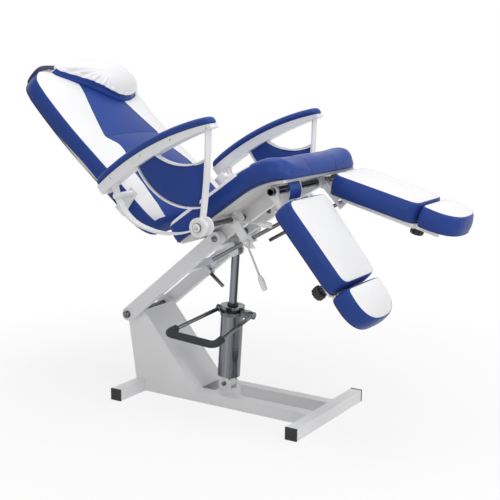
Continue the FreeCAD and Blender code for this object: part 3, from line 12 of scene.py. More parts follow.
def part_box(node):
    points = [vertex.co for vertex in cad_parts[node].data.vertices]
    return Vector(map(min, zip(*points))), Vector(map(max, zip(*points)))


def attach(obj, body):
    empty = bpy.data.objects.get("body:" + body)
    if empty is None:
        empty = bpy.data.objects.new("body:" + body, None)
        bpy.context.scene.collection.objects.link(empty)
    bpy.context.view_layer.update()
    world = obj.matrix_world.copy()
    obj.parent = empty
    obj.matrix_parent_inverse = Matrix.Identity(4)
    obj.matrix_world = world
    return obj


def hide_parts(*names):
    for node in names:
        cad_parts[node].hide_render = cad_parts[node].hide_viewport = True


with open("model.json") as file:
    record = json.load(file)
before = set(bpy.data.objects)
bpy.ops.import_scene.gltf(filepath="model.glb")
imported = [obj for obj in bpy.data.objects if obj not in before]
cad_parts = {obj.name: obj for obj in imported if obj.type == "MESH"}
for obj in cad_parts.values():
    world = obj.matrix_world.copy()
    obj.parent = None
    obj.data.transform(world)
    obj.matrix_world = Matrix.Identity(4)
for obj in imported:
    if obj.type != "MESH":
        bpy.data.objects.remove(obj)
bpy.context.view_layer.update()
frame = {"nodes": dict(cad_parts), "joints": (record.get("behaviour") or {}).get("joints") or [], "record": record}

bl_info = {
    "name": "Pedicure chair",
    "version": (1, 0, 0),
    "blender": (4, 5, 0),
    "location": "View3D > Sidebar > Chair",
    "description": "Dresses the frame of a pedicure chair with its cushions, finishes and fittings",
    "category": "Object",
}

MM = 0.001
JOINTS = {joint["name"]: joint for joint in frame["joints"]}
SLOT_OF = {row["node"]: row["material_slot"] for row in frame["record"]["subparts"]}
SIDES = ((-1, "right"), (1, "left"))


def colour(code):
    """Linear colour of an sRGB hex value."""
    shares = [int(code[i:i + 2], 16) / 255 for i in (1, 3, 5)]
    return tuple(s / 12.92 if s <= 0.04045 else ((s + 0.055) / 1.055) ** 2.4 for s in shares)


def colour_of(name, text, code):
    """A colour that the panel shows."""
    return FloatVectorProperty(name=name, description=text, default=colour(code), subtype="COLOR", min=0, max=1)


def length_of(name, text, millimetres):
    """A length that the panel shows."""
    return FloatProperty(name=name, description=text, default=millimetres * MM, unit="LENGTH", min=0)


class ChairSizes(bpy.types.PropertyGroup):
    """Sizes of the upholstery and the fittings."""

    seat_swell: length_of("Seat swell", "How far the seat cushion may swell", 6)
    back_swell: length_of("Back swell", "How far the back cushion may swell", 6)
    leg_swell: length_of("Leg pad swell", "How far calf and foot pads may swell", 4)
    pillow_swell: length_of("Pillow swell", "How far the head pillow may swell", 9)
    arm_swell: length_of("Armrest swell", "How far armrest pads and panels may swell", 2)
    lumbar: length_of("Lumbar rise", "How far the lower back stands proud of the rest", 13)
    seam: length_of("Seam", "Radius of a sewn seam", 0.9)
    trim: length_of("Edge trim", "Radius of the edge trim below the cushions", 2.2)
    rib: length_of("Rib pitch", "Distance between the ribs of the pedal sleeve", 6)
    lobes: IntProperty(name="Knob lobes", description="Grip lobes round a clamp knob", default=10, min=3)


class ChairColours(bpy.types.PropertyGroup):
    """Colours of the finishes."""

    blue: colour_of("Blue vinyl", "Sides and centre panels", "#2b458e")
    white: colour_of("White vinyl", "Tops of the cushions", "#ebebec")
    coat: colour_of("Powder coat", "Steel frame", "#f0f0f1")
    board: colour_of("Board", "Seat and back boards", "#d5d4d1")
    # chrome's grey is set darker than plated steel: partly its own colour, partly painted shade standing in for the
    # dark surroundings it reflects
    chrome: colour_of("Chrome", "Pump, rods and shafts", "#6e7074")
    black: colour_of("Black plastic", "Knobs and end caps", "#17181a")
    rubber: colour_of("Rubber", "Pedal sleeve and seals", "#2b2d30")
    ivory: colour_of("White plastic", "Grips and bushes", "#efefec")
    zinc: colour_of("Zinc", "Screws and bolts", "#b4b8be")
    navy: colour_of("Navy trim", "Edge trim, seams and straps", "#1d2547")


class Track:
    """A line in the fore-and-aft plane, with a direction along it and one square to it."""

    def __init__(self, y, z, degrees, way):
        turn = math.radians(degrees)
        self.y, self.z, self.degrees, self.way = y, z, degrees, way
        self.along = (way * math.cos(turn), math.sin(turn))
        self.up = (-way * math.sin(turn), math.cos(turn))

    def at(self, along, up=0.0):
        """Y and Z of a point beside the line."""
        return (self.y + along * self.along[0] + up * self.up[0], self.z + along * self.along[1] + up * self.up[1])

    def bent(self, straight, radius, way, along):
        """The line at a distance along it, where it runs straight and then bends."""
        if along <= straight:
            return Track(*self.at(along), self.degrees, self.way)
        turn = (along - straight) / radius
        spot = self.at(straight + radius * math.sin(turn), way * radius * (1 - math.cos(turn)))
        return Track(*spot, self.degrees + way * math.degrees(turn), self.way)


# Lines of the chair, from the joints of the frame
HUB = JOINTS["recline"]["pos_m"][1:]
LEG_HINGE = JOINTS["leg_raise_right"]["pos_m"][1:]
SEAT_TILT = 35.4
SEAT = Track(*Track(*HUB, SEAT_TILT, -1).at(-178 * MM, 25.5 * MM), SEAT_TILT, -1)
SEAT_STRAIGHT, SEAT_RADIUS, SEAT_END = 300 * MM, 323 * MM, 471.8 * MM
BACK = Track(HUB[0] + 291.5 * MM, HUB[1] - 62.5 * MM, 39.5, 1)
BACK_STRAIGHT, BACK_RADIUS, BACK_TOP = 330 * MM, 2300 * MM, 749.9 * MM
BACK_RISE = 12.3 * MM
LEG_X = 150 * MM
LEG_RISE = -8.7 * MM
ARM_X = 330 * MM


def seat_place(x, along, up):
    """Point on the seat."""
    return Vector((x, *SEAT.bent(SEAT_STRAIGHT, SEAT_RADIUS, -1, along).at(0, up)))


def back_place(x, along, up):
    """Point on the backrest."""
    return Vector((x, *BACK.bent(BACK_STRAIGHT, BACK_RADIUS, 1, along).at(0, up + BACK_RISE)))


def leg_place(way, side):
    """Function that gives a point on a leg rest."""
    axis = JOINTS["foot_slide_" + side]["axis"]
    line = Track(*LEG_HINGE, math.degrees(math.atan2(axis[2], -axis[1])), -1)
    return lambda x, along, up: Vector((way * LEG_X + x, *line.at(along, up + LEG_RISE)))


def circle(a, b, c):
    """Centre and radius of the circle through three points."""
    turn = 2 * (a[0] * (b[1] - c[1]) + b[0] * (c[1] - a[1]) + c[0] * (a[1] - b[1]))
    sq = [p[0] ** 2 + p[1] ** 2 for p in (a, b, c)]
    y = (sq[0] * (b[1] - c[1]) + sq[1] * (c[1] - a[1]) + sq[2] * (a[1] - b[1])) / turn
    z = (sq[0] * (c[0] - b[0]) + sq[1] * (a[0] - c[0]) + sq[2] * (b[0] - a[0])) / turn
    return (y, z), math.dist((y, z), a)


def hub_point(y, z):
    """Y and Z of a point given in millimetres from the recline hub."""
    return HUB[0] + y * MM, HUB[1] + z * MM


ARM_MIDDLE, ARM_RADIUS = circle(hub_point(394, 99), hub_point(222, 217), hub_point(-46, 316))


def arm_angle(point):
    """Angle of a point round the middle of the armrest's curve."""
    return math.atan2(point[1] - ARM_MIDDLE[1], point[0] - ARM_MIDDLE[0])


def arm_place(way):
    """Function that gives a point on an armrest's pad, from its tail to its tip."""
    start = arm_angle(hub_point(394, 99))

    def place(x, along, up):
        angle, reach = start + along / ARM_RADIUS, ARM_RADIUS + 0.3 * MM + up
        return Vector((way * ARM_X + x, ARM_MIDDLE[0] + reach * math.cos(angle),
                       ARM_MIDDLE[1] + reach * math.sin(angle)))

    return place


ARM_LENGTH = ARM_RADIUS * (arm_angle(hub_point(-46, 316)) - arm_angle(hub_point(394, 99)))


def add_node(tree, kind, settings=(), **inputs):
    """Adds a shader node with its settings, values and links; in0, in1 count its sockets."""
    node = tree.nodes.new(kind)
    for key, value in dict(settings).items():
        setattr(node, key, value)
    for key, value in inputs.items():
        counted = key[:2] == "in" and key[2:].isdigit()
        socket = node.inputs[int(key[2:]) if counted else key.replace("_", " ")]
        if isinstance(value, bpy.types.NodeSocket):
            tree.links.new(value, socket)
        else:
            socket.default_value = value
    return node


def fresh_material(name):
    """New node material, with its tree, its object coordinates and its output."""
    material = bpy.data.materials.new(name)
    material.use_nodes = True
    tree = material.node_tree
    tree.nodes.clear()
    place = add_node(tree, "ShaderNodeTexCoord").outputs["Object"]
    return material, tree, place, add_node(tree, "ShaderNodeOutputMaterial")


def surface(tree, out, **inputs):
    """Principled surface of a material, linked to its output."""
    shader = add_node(tree, "ShaderNodeBsdfPrincipled", **inputs)
    tree.links.new(shader.outputs["BSDF"], out.inputs["Surface"])


def tint(tree, place, rgb, patch, shift):
    """Colour that drifts a little over patches of a real size, and the patches themselves."""
    drift = add_node(tree, "ShaderNodeTexNoise", Vector=place, Scale=1 / patch, Detail=2.0, Roughness=0.5)
    deep = tuple(c * (1 - shift) for c in rgb) + (1.0,)
    pale = tuple(min(1.0, c * (1 + shift)) for c in rgb) + (1.0,)
    mix = add_node(tree, "ShaderNodeMix", {"data_type": "RGBA"}, in0=drift.outputs["Fac"], in6=deep, in7=pale)
    return mix.outputs[2], drift.outputs["Fac"]


def spread(tree, value, low, high):
    """A noise value taken to a range."""
    return add_node(tree, "ShaderNodeMapRange", Value=value, From_Min=0.3, From_Max=0.7, To_Min=low,
                    To_Max=high).outputs["Result"]


def upholstery_vinyl(name, rgb, rough, gloss):
    """PVC upholstery vinyl, calendered on a knit and embossed with a leather grain."""
    material, tree, place, out = fresh_material(name)
    # soft satin light, a fine pebbled grain and slow changes of sheen where the foam is stretched;
    # the real grain is about 1 mm and is drawn at 2 mm so that it shows
    shade, patches = tint(tree, place, rgb, 160 * MM, 0.05)
    pebble = add_node(tree, "ShaderNodeTexVoronoi", {"feature": "SMOOTH_F1"}, Vector=place, Scale=1 / (2 * MM),
                      Smoothness=0.6)
    crease = add_node(tree, "ShaderNodeTexNoise", Vector=place, Scale=1 / (26 * MM), Detail=4.0, Roughness=0.62)
    soft = add_node(tree, "ShaderNodeBump", Strength=0.1, Distance=1.2 * MM, Height=crease.outputs["Fac"])
    grain = add_node(tree, "ShaderNodeBump", Strength=0.22, Distance=0.25 * MM, Height=pebble.outputs["Distance"],
                     Normal=soft.outputs["Normal"])
    surface(tree, out, Base_Color=shade, Normal=grain.outputs["Normal"],
            Roughness=spread(tree, patches, rough - 0.05, rough + 0.06), Specular_IOR_Level=gloss)
    return material


def powder_coated_steel(rgb):
    """Steel tube and sheet under a baked polyester powder coat."""
    material, tree, place, out = fresh_material("powder_coated_steel")
    # even off-white with a semi-gloss, soft edges and the faint orange peel of melted powder, drawn at 4 mm
    shade, patches = tint(tree, place, rgb, 220 * MM, 0.025)
    peel = add_node(tree, "ShaderNodeTexNoise", Vector=place, Scale=1 / (4 * MM), Detail=1.0)
    edge = add_node(tree, "ShaderNodeBevel", {"samples": 4}, Radius=1.6 * MM)
    bump = add_node(tree, "ShaderNodeBump", Strength=0.08, Distance=0.3 * MM, Height=peel.outputs["Fac"],
                    Normal=edge.outputs["Normal"])
    surface(tree, out, Base_Color=shade, Normal=bump.outputs["Normal"],
            Roughness=spread(tree, patches, 0.27, 0.36), IOR=1.5)
    return material


def plated_steel(name, rgb, low, high, reflection_contrast, way=(0, 0, 1), wide=14 * MM):
    """Drawn steel bar and tube, polished and plated, with painted reflection bands along it."""
    material, tree, place, out = fresh_material(name)
    # painted reflections: bright and darker bands along a bar, 14 mm wide or less, scale the base colour as if the
    # bar reflected dark and light surroundings
    shade, patches = tint(tree, place, rgb, 60 * MM, 0.03)
    turn = Vector(way).rotation_difference(Vector((0, 0, 1))).to_euler()
    level = add_node(tree, "ShaderNodeMapping", Vector=place, Rotation=turn)
    drawn = add_node(tree, "ShaderNodeVectorMath", {"operation": "MULTIPLY"}, in0=level.outputs["Vector"],
                     in1=(1 / wide, 1 / wide, 1 / (900 * MM)))
    painted_reflection_bands = add_node(tree, "ShaderNodeTexNoise", Vector=drawn.outputs["Vector"], Scale=1.0, Detail=2.0)
    # painted reflection shade: the bands scale the base colour between darker and brighter
    depth = spread(tree, painted_reflection_bands.outputs["Fac"], 1 - reflection_contrast, 1 + reflection_contrast * 0.7)
    shade = add_node(tree, "ShaderNodeVectorMath", {"operation": "SCALE"}, in0=shade, Scale=depth).outputs["Vector"]
    edge = add_node(tree, "ShaderNodeBevel", {"samples": 4}, Radius=0.8 * MM)
    surface(tree, out, Base_Color=shade, Normal=edge.outputs["Normal"],
            Roughness=spread(tree, patches, low, high), Metallic=1.0)
    return material


def moulded(name, rgb, rough, grit, depth):
    """Moulded plastic or rubber with a spark-eroded texture from its tool."""
    material, tree, place, out = fresh_material(name)
    # even colour with a fine matt grit; the real grit is about half as coarse as it is drawn
    shade, patches = tint(tree, place, rgb, 40 * MM, 0.06)
    spark = add_node(tree, "ShaderNodeTexNoise", Vector=place, Scale=1 / grit, Detail=3.0)
    bump = add_node(tree, "ShaderNodeBump", Strength=depth, Distance=0.2 * MM, Height=spark.outputs["Fac"])
    surface(tree, out, Base_Color=shade, Normal=bump.outputs["Normal"],
            Roughness=spread(tree, patches, rough - 0.05, rough + 0.05), IOR=1.49)
    return material


def woven_tape(rgb):
    """Narrow woven polyester tape, used for seams, trim and the pillow strap."""
    material, tree, place, out = fresh_material("woven_polyester_tape")
    # matt dark threads, 1 mm apart, that catch a little light on their crowns
    shade, patches = tint(tree, place, rgb, 30 * MM, 0.1)
    threads = add_node(tree, "ShaderNodeTexWave", {"wave_type": "BANDS", "bands_direction": "DIAGONAL"},
                       Vector=place, Scale=1 / (20 * MM), Distortion=0.4)
    bump = add_node(tree, "ShaderNodeBump", Strength=0.4, Distance=0.3 * MM, Height=threads.outputs["Fac"])
    surface(tree, out, Base_Color=shade, Normal=bump.outputs["Normal"],
            Roughness=spread(tree, patches, 0.62, 0.75), IOR=1.5)
    return material


FINISH = {}


def make_finishes(colours):
    """All the materials, by the name of the record's slot or of the piece."""
    FINISH.update({
        "vinyl_blue": upholstery_vinyl("embossed_vinyl_blue", colours.blue, 0.32, 0.14),
        "vinyl_white": upholstery_vinyl("embossed_vinyl_white", colours.white, 0.44, 0.3),
        "powder_coat_white": powder_coated_steel(colours.coat),
        "board_grey": moulded("melamine_faced_board", colours.board, 0.5, 2 * MM, 0.08),
        # chrome gets strong painted reflection bands, zinc faint ones
        "chrome_steel": plated_steel("chrome_plated_steel", colours.chrome, 0.07, 0.14, 0.75),
        "zinc": plated_steel("zinc_plated_steel", colours.zinc, 0.26, 0.36, 0.15),
        "black_plastic": moulded("moulded_black_nylon", colours.black, 0.46, 1 * MM, 0.3),
        "sleeve_rubber": moulded("moulded_nitrile_rubber", colours.rubber, 0.66, 1.2 * MM, 0.35),
        "grip_white": moulded("moulded_white_abs", colours.ivory, 0.26, 1.5 * MM, 0.06),
        "bush_plastic": moulded("turned_white_acetal", colours.ivory, 0.42, 1.5 * MM, 0.1),
        "rod_enamel": moulded("baked_grey_enamel", colours.board, 0.3, 2 * MM, 0.05),
        "navy": woven_tape(colours.navy),
    })


def new_piece(name, points, faces, materials, marks=None):
    """Mesh object from points and faces, smooth, with a material number for each face."""
    mesh = bpy.data.meshes.new(name)
    mesh.from_pydata([tuple(p) for p in points], [], faces)
    for material in materials:
        mesh.materials.append(material)
    if marks is not None:
        mesh.polygons.foreach_set("material_index", marks)
    mesh.polygons.foreach_set("use_smooth", [True] * len(mesh.polygons))
    mesh.update()
    obj = bpy.data.objects.new(name, mesh)
    bpy.context.scene.collection.objects.link(obj)
    return obj


def bridged(rows, count, start=0):
    """Faces between closed rows of points, each row with the same count."""
    faces = []
    for here in range(start, start + (rows - 1) * count, count):
        ahead = here + count
        faces += [(here + i, here + (i + 1) % count, ahead + (i + 1) % count, ahead + i) for i in range(count)]
    return faces


def scaled(rows, along=MM):
    """Rows of a turned profile, given in millimetres or with another unit along the axis, in metres."""
    return [(radius * MM, place * along, lobe) for radius, place, lobe in rows]


def outward(obj):
    """Turns the faces of a closed cover outwards, so that air inside it pushes them out."""
    shell = bmesh.new()
    shell.from_mesh(obj.data)
    if shell.calc_volume(signed=True) < 0:
        obj.data.flip_normals()
    shell.free()
    return obj


def place_of(obj, numbers):
    """Places of some points of a piece, with its modifiers."""
    bpy.context.view_layer.update()
    made = obj.evaluated_get(bpy.context.evaluated_depsgraph_get()).data
    return [made.vertices[i].co.copy() for i in numbers]


def inflate(obj, held, pressure, most):
    """Swells a sewn cover by a cloth simulation; held points stay, and none moves further than most."""
    scene = bpy.context.scene
    count = len(obj.data.vertices)
    start = np.empty(count * 3)
    obj.data.vertices.foreach_get("co", start)
    pins = obj.vertex_groups.new(name="sewn")
    pins.add(list(held), 1.0, "REPLACE")
    cloth = obj.modifiers.new("cover", "CLOTH")
    use = cloth.settings
    use.quality, use.mass, use.air_damping = 6, 0.3, 5.0
    use.tension_stiffness = use.compression_stiffness = 20.0
    use.shear_stiffness, use.bending_stiffness = 10.0, 0.8
    use.use_pressure, use.uniform_pressure_force = True, pressure
    use.vertex_group_mass = pins.name
    use.effector_weights.gravity = 0.0
    cloth.collision_settings.use_collision = False
    cloth.point_cache.frame_start, cloth.point_cache.frame_end = 1, 20
    for step in range(1, 21):
        scene.frame_set(step)
    made = obj.evaluated_get(bpy.context.evaluated_depsgraph_get()).data
    end = np.empty(count * 3)
    made.vertices.foreach_get("co", end)
    move = (end - start).reshape(-1, 3)
    size = np.linalg.norm(move, axis=1, keepdims=True)
    if not np.isfinite(size).all():
        raise RuntimeError(f"the cover of {obj.name} didn't settle")
    move *= np.tanh(size / most) * most / np.maximum(size, 1e-9)
    obj.modifiers.remove(cloth)
    obj.vertex_groups.remove(pins)
    scene.frame_set(1)
    obj.data.vertices.foreach_set("co", start + move.reshape(-1))
    obj.data.update()


def soften(obj):
    """One subdivision, so that the cover has no facets."""
    smooth = obj.modifiers.new("smooth", "SUBSURF")
    smooth.levels = smooth.render_levels = 1
    return obj


def settle(obj, body, slot, *nodes):
    """Puts a piece on its body, with the frame nodes that it stands for; slot is not used."""
    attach(obj, body)
    if nodes:
        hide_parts(*nodes)
    return obj


def filleted(corners, spacing):
    """Closed outline through corners, each a point with its rounding, as points a spacing apart."""
    path = []
    for i, (x, y, radius) in enumerate(corners):
        here = Vector((x, y))
        to_last = (Vector(corners[i - 1][:2]) - here)
        to_next = (Vector(corners[(i + 1) % len(corners)][:2]) - here)
        half = to_last.angle(to_next) / 2
        run = min(radius / math.tan(half), to_last.length * 0.48, to_next.length * 0.48)
        a, b = here + to_last.normalized() * run, here + to_next.normalized() * run
        for step in range(9):
            t = step / 8
            path.append(a * (1 - t) ** 2 + here * 2 * t * (1 - t) + b * t * t)
    lengths = [(path[(i + 1) % len(path)] - p).length for i, p in enumerate(path)]
    count = round(sum(lengths) / spacing)
    step, points, i, gone = sum(lengths) / count, [], 0, 0.0
    for n in range(count):
        want = n * step
        while gone + lengths[i] < want:
            gone += lengths[i]
            i += 1
        share = (want - gone) / max(lengths[i], 1e-9)
        points.append(path[i].lerp(path[(i + 1) % len(path)], share))
    return points


def boxed_pad(name, outline, place, thick, crown, bulge, shoulder, gather=None):
    """Pad sewn from a top, a side band and a base on an outline; gives the piece, its seams and held points."""
    edge = np.array([tuple(p) for p in outline])
    ahead, behind = np.roll(edge, -1, axis=0), np.roll(edge, 1, axis=0)
    run = ahead - behind
    out = np.stack((run[:, 1], -run[:, 0]), axis=1) / np.linalg.norm(run, axis=1, keepdims=True)
    middle = (edge.max(axis=0) + edge.min(axis=0)) / 2
    low = 5 * MM
    rows = [(0.3, -low, 0, "base"), (0.65, -low, 0, "base"), (0.88, -low, 0, "base"), (1, -low, 0, "base"),
            (1, -low * 0.3, low * 0.3, "base"), (1, 0, low, "side")]
    tall = thick - shoulder
    for share in (0.14, 0.3, 0.46, 0.62, 0.78, 0.92):
        rows.append((1, bulge * math.sin(math.pi * share), low + (tall - low) * share, "side"))
    for degrees in (0, 22, 45):
        turn = math.radians(degrees)
        rows.append((1, -shoulder * (1 - math.cos(turn)), tall + shoulder * math.sin(turn), "side"))
    seam_row = len(rows) - 1
    for degrees in (68, 90):
        turn = math.radians(degrees)
        rows.append((1, -shoulder * (1 - math.cos(turn)), tall + shoulder * math.sin(turn), "top"))
    for share in (0.94, 0.87, 0.79, 0.7, 0.6, 0.5, 0.4, 0.3, 0.2, 0.1):
        rows.append((share, -shoulder, thick + crown * (1 - share ** 2.3), "top"))
    points, count = [], len(edge)
    for share, offset, up, zone in rows:
        spots = middle + share * (edge + out * offset - middle)
        for i, (x, along) in enumerate(spots):
            lift = gather(i / count, share, zone, up) if gather else 0.0
            points.append(place(x, along, up + lift))
    faces = bridged(len(rows), count)
    marks = [int(row[3] == "top") for row in rows[1:] for _ in edge]
    last = (len(rows) - 1) * count
    points += [place(*middle, 0.0), place(*middle, thick + crown)]
    for i in range(count):
        j = (i + 1) % count
        faces += [(len(points) - 2, j, i), (len(points) - 1, last + i, last + j)]
        marks += [0, 1]
    obj = outward(new_piece(name, points, faces, (FINISH["vinyl_blue"], FINISH["vinyl_white"]), marks))
    seam = [seam_row * count + i for i in range(count)]
    foot = [4 * count + i for i in range(count)]
    held = list(range(5 * count)) + seam + [len(points) - 2]
    return obj, seam, foot, held


def stations(length, step, start_round, end_round):
    """Places along a pad with the inset of its rounded ends: fine at the ends, even between them."""
    spots = []
    for degrees in (4, 22, 42, 64, 90):
        turn = math.radians(degrees)
        spots.append((start_round * (1 - math.cos(turn)), start_round * (1 - math.sin(turn))))
    count = max(2, round((length - start_round - end_round) / step))
    body = [(start_round + (length - start_round - end_round) * i / count, 0.0) for i in range(1, count)]
    tail = [(length - end_round * (1 - math.cos(math.radians(g))), end_round * (1 - math.sin(math.radians(g))))
            for g in (90, 64, 42, 22, 4)]
    return spots + body + tail


# Points across the base of a lofted pad, and how much earlier the white ends on its shoulder
BASE_POINTS, SHOULDER_END = 9, 45 * MM


def lofted_pad(name, rows, place, shape, zone_of, columns, wrap=0.0, roll=1.0, drop=0):
    """Pad sewn from bands that run along it. shape gives width, thickness, crown, bulge, shoulder and panel
    half-width at a place; zone_of says if a top face is white; columns counts the white and panel columns; the
    side band goes on behind the base by wrap, the ends roll over by a share of their rounding, and the white comes
    down over the shoulder by drop rows."""
    white, panel = columns
    points, zones, tops = [], [], []
    for along, inset in rows:
        width, thick, crown, bulge, shoulder, half_panel, lift = shape(along)
        half, thick = width / 2 - inset, max(thick - inset * roll, 6 * MM)
        shoulder = min(shoulder, half * 0.6, thick * 0.5)
        low = min(5 * MM, half * 0.3)
        lip = half - 4 * low
        ring = [(low - half, -wrap), (-lip, -wrap)] + [(lip * x, -wrap * 0.4) for x in (-0.8, -0.4, 0, 0.4, 0.8)]
        ring += [(lip, -wrap), (half - low, -wrap)]
        kinds = ["base"] * BASE_POINTS
        right = [(half - low * 0.3, low * 0.3 - wrap), (half, low - wrap)]
        tall = thick - shoulder
        right += [(half + bulge * math.sin(math.pi * s), (low - wrap) + (tall - low + wrap) * s)
                  for s in (0.16, 0.34, 0.5, 0.66, 0.84)]
        right += [(half - shoulder * (1 - math.cos(math.radians(g))), tall + shoulder * math.sin(math.radians(g)))
                  for g in (0, 22, 45)]
        flat = half - shoulder
        held_panel = min(half_panel, flat * 0.86)
        spots = [flat + (held_panel - flat) * i / white for i in range(white + 1)]
        spots += [held_panel - 2 * held_panel * i / panel for i in range(1, panel)]
        top = [(x, thick + crown * (1 - (x / half) ** 2) + lift * max(0.0, 1 - (x / (half * 0.86)) ** 4))
               for x in spots + [-s for s in reversed(spots[:white + 1])]]
        curl = [(half - shoulder * (1 - math.cos(math.radians(68))), tall + shoulder * math.sin(math.radians(68)))]
        ring += right + curl + top + [(-x, u) for x, u in reversed(curl)] + [(-x, u) for x, u in reversed(right)]
        kinds += ["side"] * len(right) + ["top"] * (len(curl) + white) + ["panel"] * panel
        kinds += ["top"] * (white + 1 + len(curl)) + ["side"] * len(right)
        points += [place(x, along, up) for x, up in ring]
        edge = BASE_POINTS + len(right)
        zones, tops = kinds, (edge - 1, edge + 1 + white, edge + 1 + white + panel)
    count = len(points) // len(rows)
    far = count - 1 - (tops[0] - BASE_POINTS)
    faces, marks = bridged(len(rows), count), []
    for r in range(len(rows) - 1):
        middle = (rows[r][0] + rows[r + 1][0]) / 2
        for i in range(count):
            white_shoulder = tops[0] - drop <= i <= tops[0] or far <= i < far + drop
            ends = zone_of(middle) and (zones[i] == "top" or zone_of(middle + drop * SHOULDER_END))
            marks.append(1 if (zones[i] == "top" or white_shoulder) and ends else 0)
    last = (len(rows) - 1) * count
    for start, way in ((0, 1), (last, -1)):
        ring = [points[start + i] for i in range(count)]
        middle = sum(ring, Vector()) / count
        inner = len(points)
        points += [p.lerp(middle, 0.5) for p in ring]
        points.append(middle)
        for i in range(count):
            j = (i + 1) % count
            quad, fan = (start + i, inner + i, inner + j, start + j), (inner + i, inner + count, inner + j)
            faces += [quad if way > 0 else quad[::-1], fan if way > 0 else fan[::-1]]
            marks += [0, 0]
    obj = outward(new_piece(name, points, faces, (FINISH["vinyl_blue"], FINISH["vinyl_white"]), marks))
    return obj, count, (tops[0] - drop, tops[1], tops[2]), far + drop


def held_base(count, last):
    """Point numbers of the base of a lofted pad and the foot of its side bands."""
    return [r * count + i for r in range(last + 1) for i in [*range(BASE_POINTS + 2), count - 2, count - 1]]


def column(count, number, first, last):
    """Point numbers of one column of a lofted pad between two of its rows."""
    return [r * count + number for r in range(first, last + 1)]


def sewn_line(name, points, radius, finish, closed=False):
    """Seam, trim or tape as a fine round line through points."""
    curve = bpy.data.curves.new(name, "CURVE")
    curve.dimensions, curve.bevel_depth, curve.bevel_resolution = "3D", radius, 2
    spline = curve.splines.new("POLY")
    spline.points.add(len(points) - 1)
    for spot, point in zip(spline.points, points):
        spot.co = (*point, 1.0)
    spline.use_cyclic_u = closed
    curve.materials.append(FINISH[finish])
    obj = bpy.data.objects.new(name, curve)
    bpy.context.scene.collection.objects.link(obj)
    return obj


def turned(name, centre, axis, profile, finish, lobes=0, depth=0.0, turns=48):
    """Piece turned round an axis from radii and places along it, with grip lobes if asked."""
    axis = Vector(axis).normalized()
    side = axis.orthogonal().normalized()
    over = axis.cross(side)
    points = []
    for radius, along, share in profile:
        for i in range(turns):
            angle = 2 * math.pi * i / turns
            wave = 1 - depth * share * (0.5 - 0.5 * math.cos(lobes * angle)) if lobes else 1.0
            reach = radius * wave
            points.append(Vector(centre) + axis * along + side * reach * math.cos(angle)
                          + over * reach * math.sin(angle))
    faces = bridged(len(profile), turns)
    faces += [tuple(reversed(range(turns))), tuple(range((len(profile) - 1) * turns, len(profile) * turns))]
    return new_piece(name, points, faces, (FINISH[finish],))


def axis_of(node):
    """Middle, direction, half length and radius of a long frame node."""
    mesh = frame["nodes"][node].data
    co = np.empty(len(mesh.vertices) * 3)
    mesh.vertices.foreach_get("co", co)
    co = co.reshape(-1, 3)
    low, high = co.min(axis=0), co.max(axis=0)
    middle = (low + high) / 2
    _, _, ways = np.linalg.svd(co - co.mean(axis=0), full_matrices=False)
    run = (co - middle) @ ways[0]
    off = np.linalg.norm((co - middle) - np.outer(run, ways[0]), axis=1)
    return Vector(middle), Vector(ways[0]), (run.max() - run.min()) / 2, off.max()


def hex_head(name, centre, axis, across, height, finish="zinc"):
    """Hexagon bolt head on its washer, with a chamfered crown."""
    axis = Vector(axis).normalized()
    side = axis.orthogonal().normalized()
    over = axis.cross(side)
    rings = [(across * 0.78, 0.0, 36), (across * 0.78, 1.2 * MM, 36), (across * 0.72, 1.5 * MM, 36)]
    points = []
    for radius, along, turns in rings:
        points += [Vector(centre) + axis * along + side * radius * math.cos(2 * math.pi * i / turns)
                   + over * radius * math.sin(2 * math.pi * i / turns) for i in range(turns)]
    faces = bridged(3, 36) + [tuple(reversed(range(36))), tuple(range(72, 108))]
    base = len(points)
    for radius, along in ((across / 2, 1.5 * MM), (across / 2, height - 0.8 * MM), (across * 0.44, height)):
        points += [Vector(centre) + axis * along + side * radius / 0.87 * math.cos(math.pi * i / 3)
                   + over * radius / 0.87 * math.sin(math.pi * i / 3) for i in range(6)]
    faces += bridged(3, 6, base) + [tuple(range(base + 12, base + 18))]
    obj = new_piece(name, points, faces, (FINISH[finish],))
    obj.data.polygons.foreach_set("use_smooth", [False] * len(obj.data.polygons))
    return obj


def pan_screw(name, centre, axis, radius):
    """Pan-head screw with a socket in its crown."""
    head = [(radius, 0.0, 0), (radius, 0.5 * MM, 0), (radius * 0.92, radius * 0.34, 0),
            (radius * 0.7, radius * 0.52, 0), (radius * 0.46, radius * 0.58, 0), (radius * 0.44, radius * 0.2, 0)]
    return turned(name, centre, axis, head, "zinc", turns=24)


def seen_share(tree):
    """One for the rays that show the surroundings: from the camera, off metal and through glass."""
    path = add_node(tree, "ShaderNodeLightPath")
    seen = path.outputs["Is Camera Ray"]
    for kind in ("Is Glossy Ray", "Is Transmission Ray"):
        both = add_node(tree, "ShaderNodeMath", {"operation": "MAXIMUM"}, in0=seen, in1=path.outputs[kind])
        seen = both.outputs[0]
    return seen


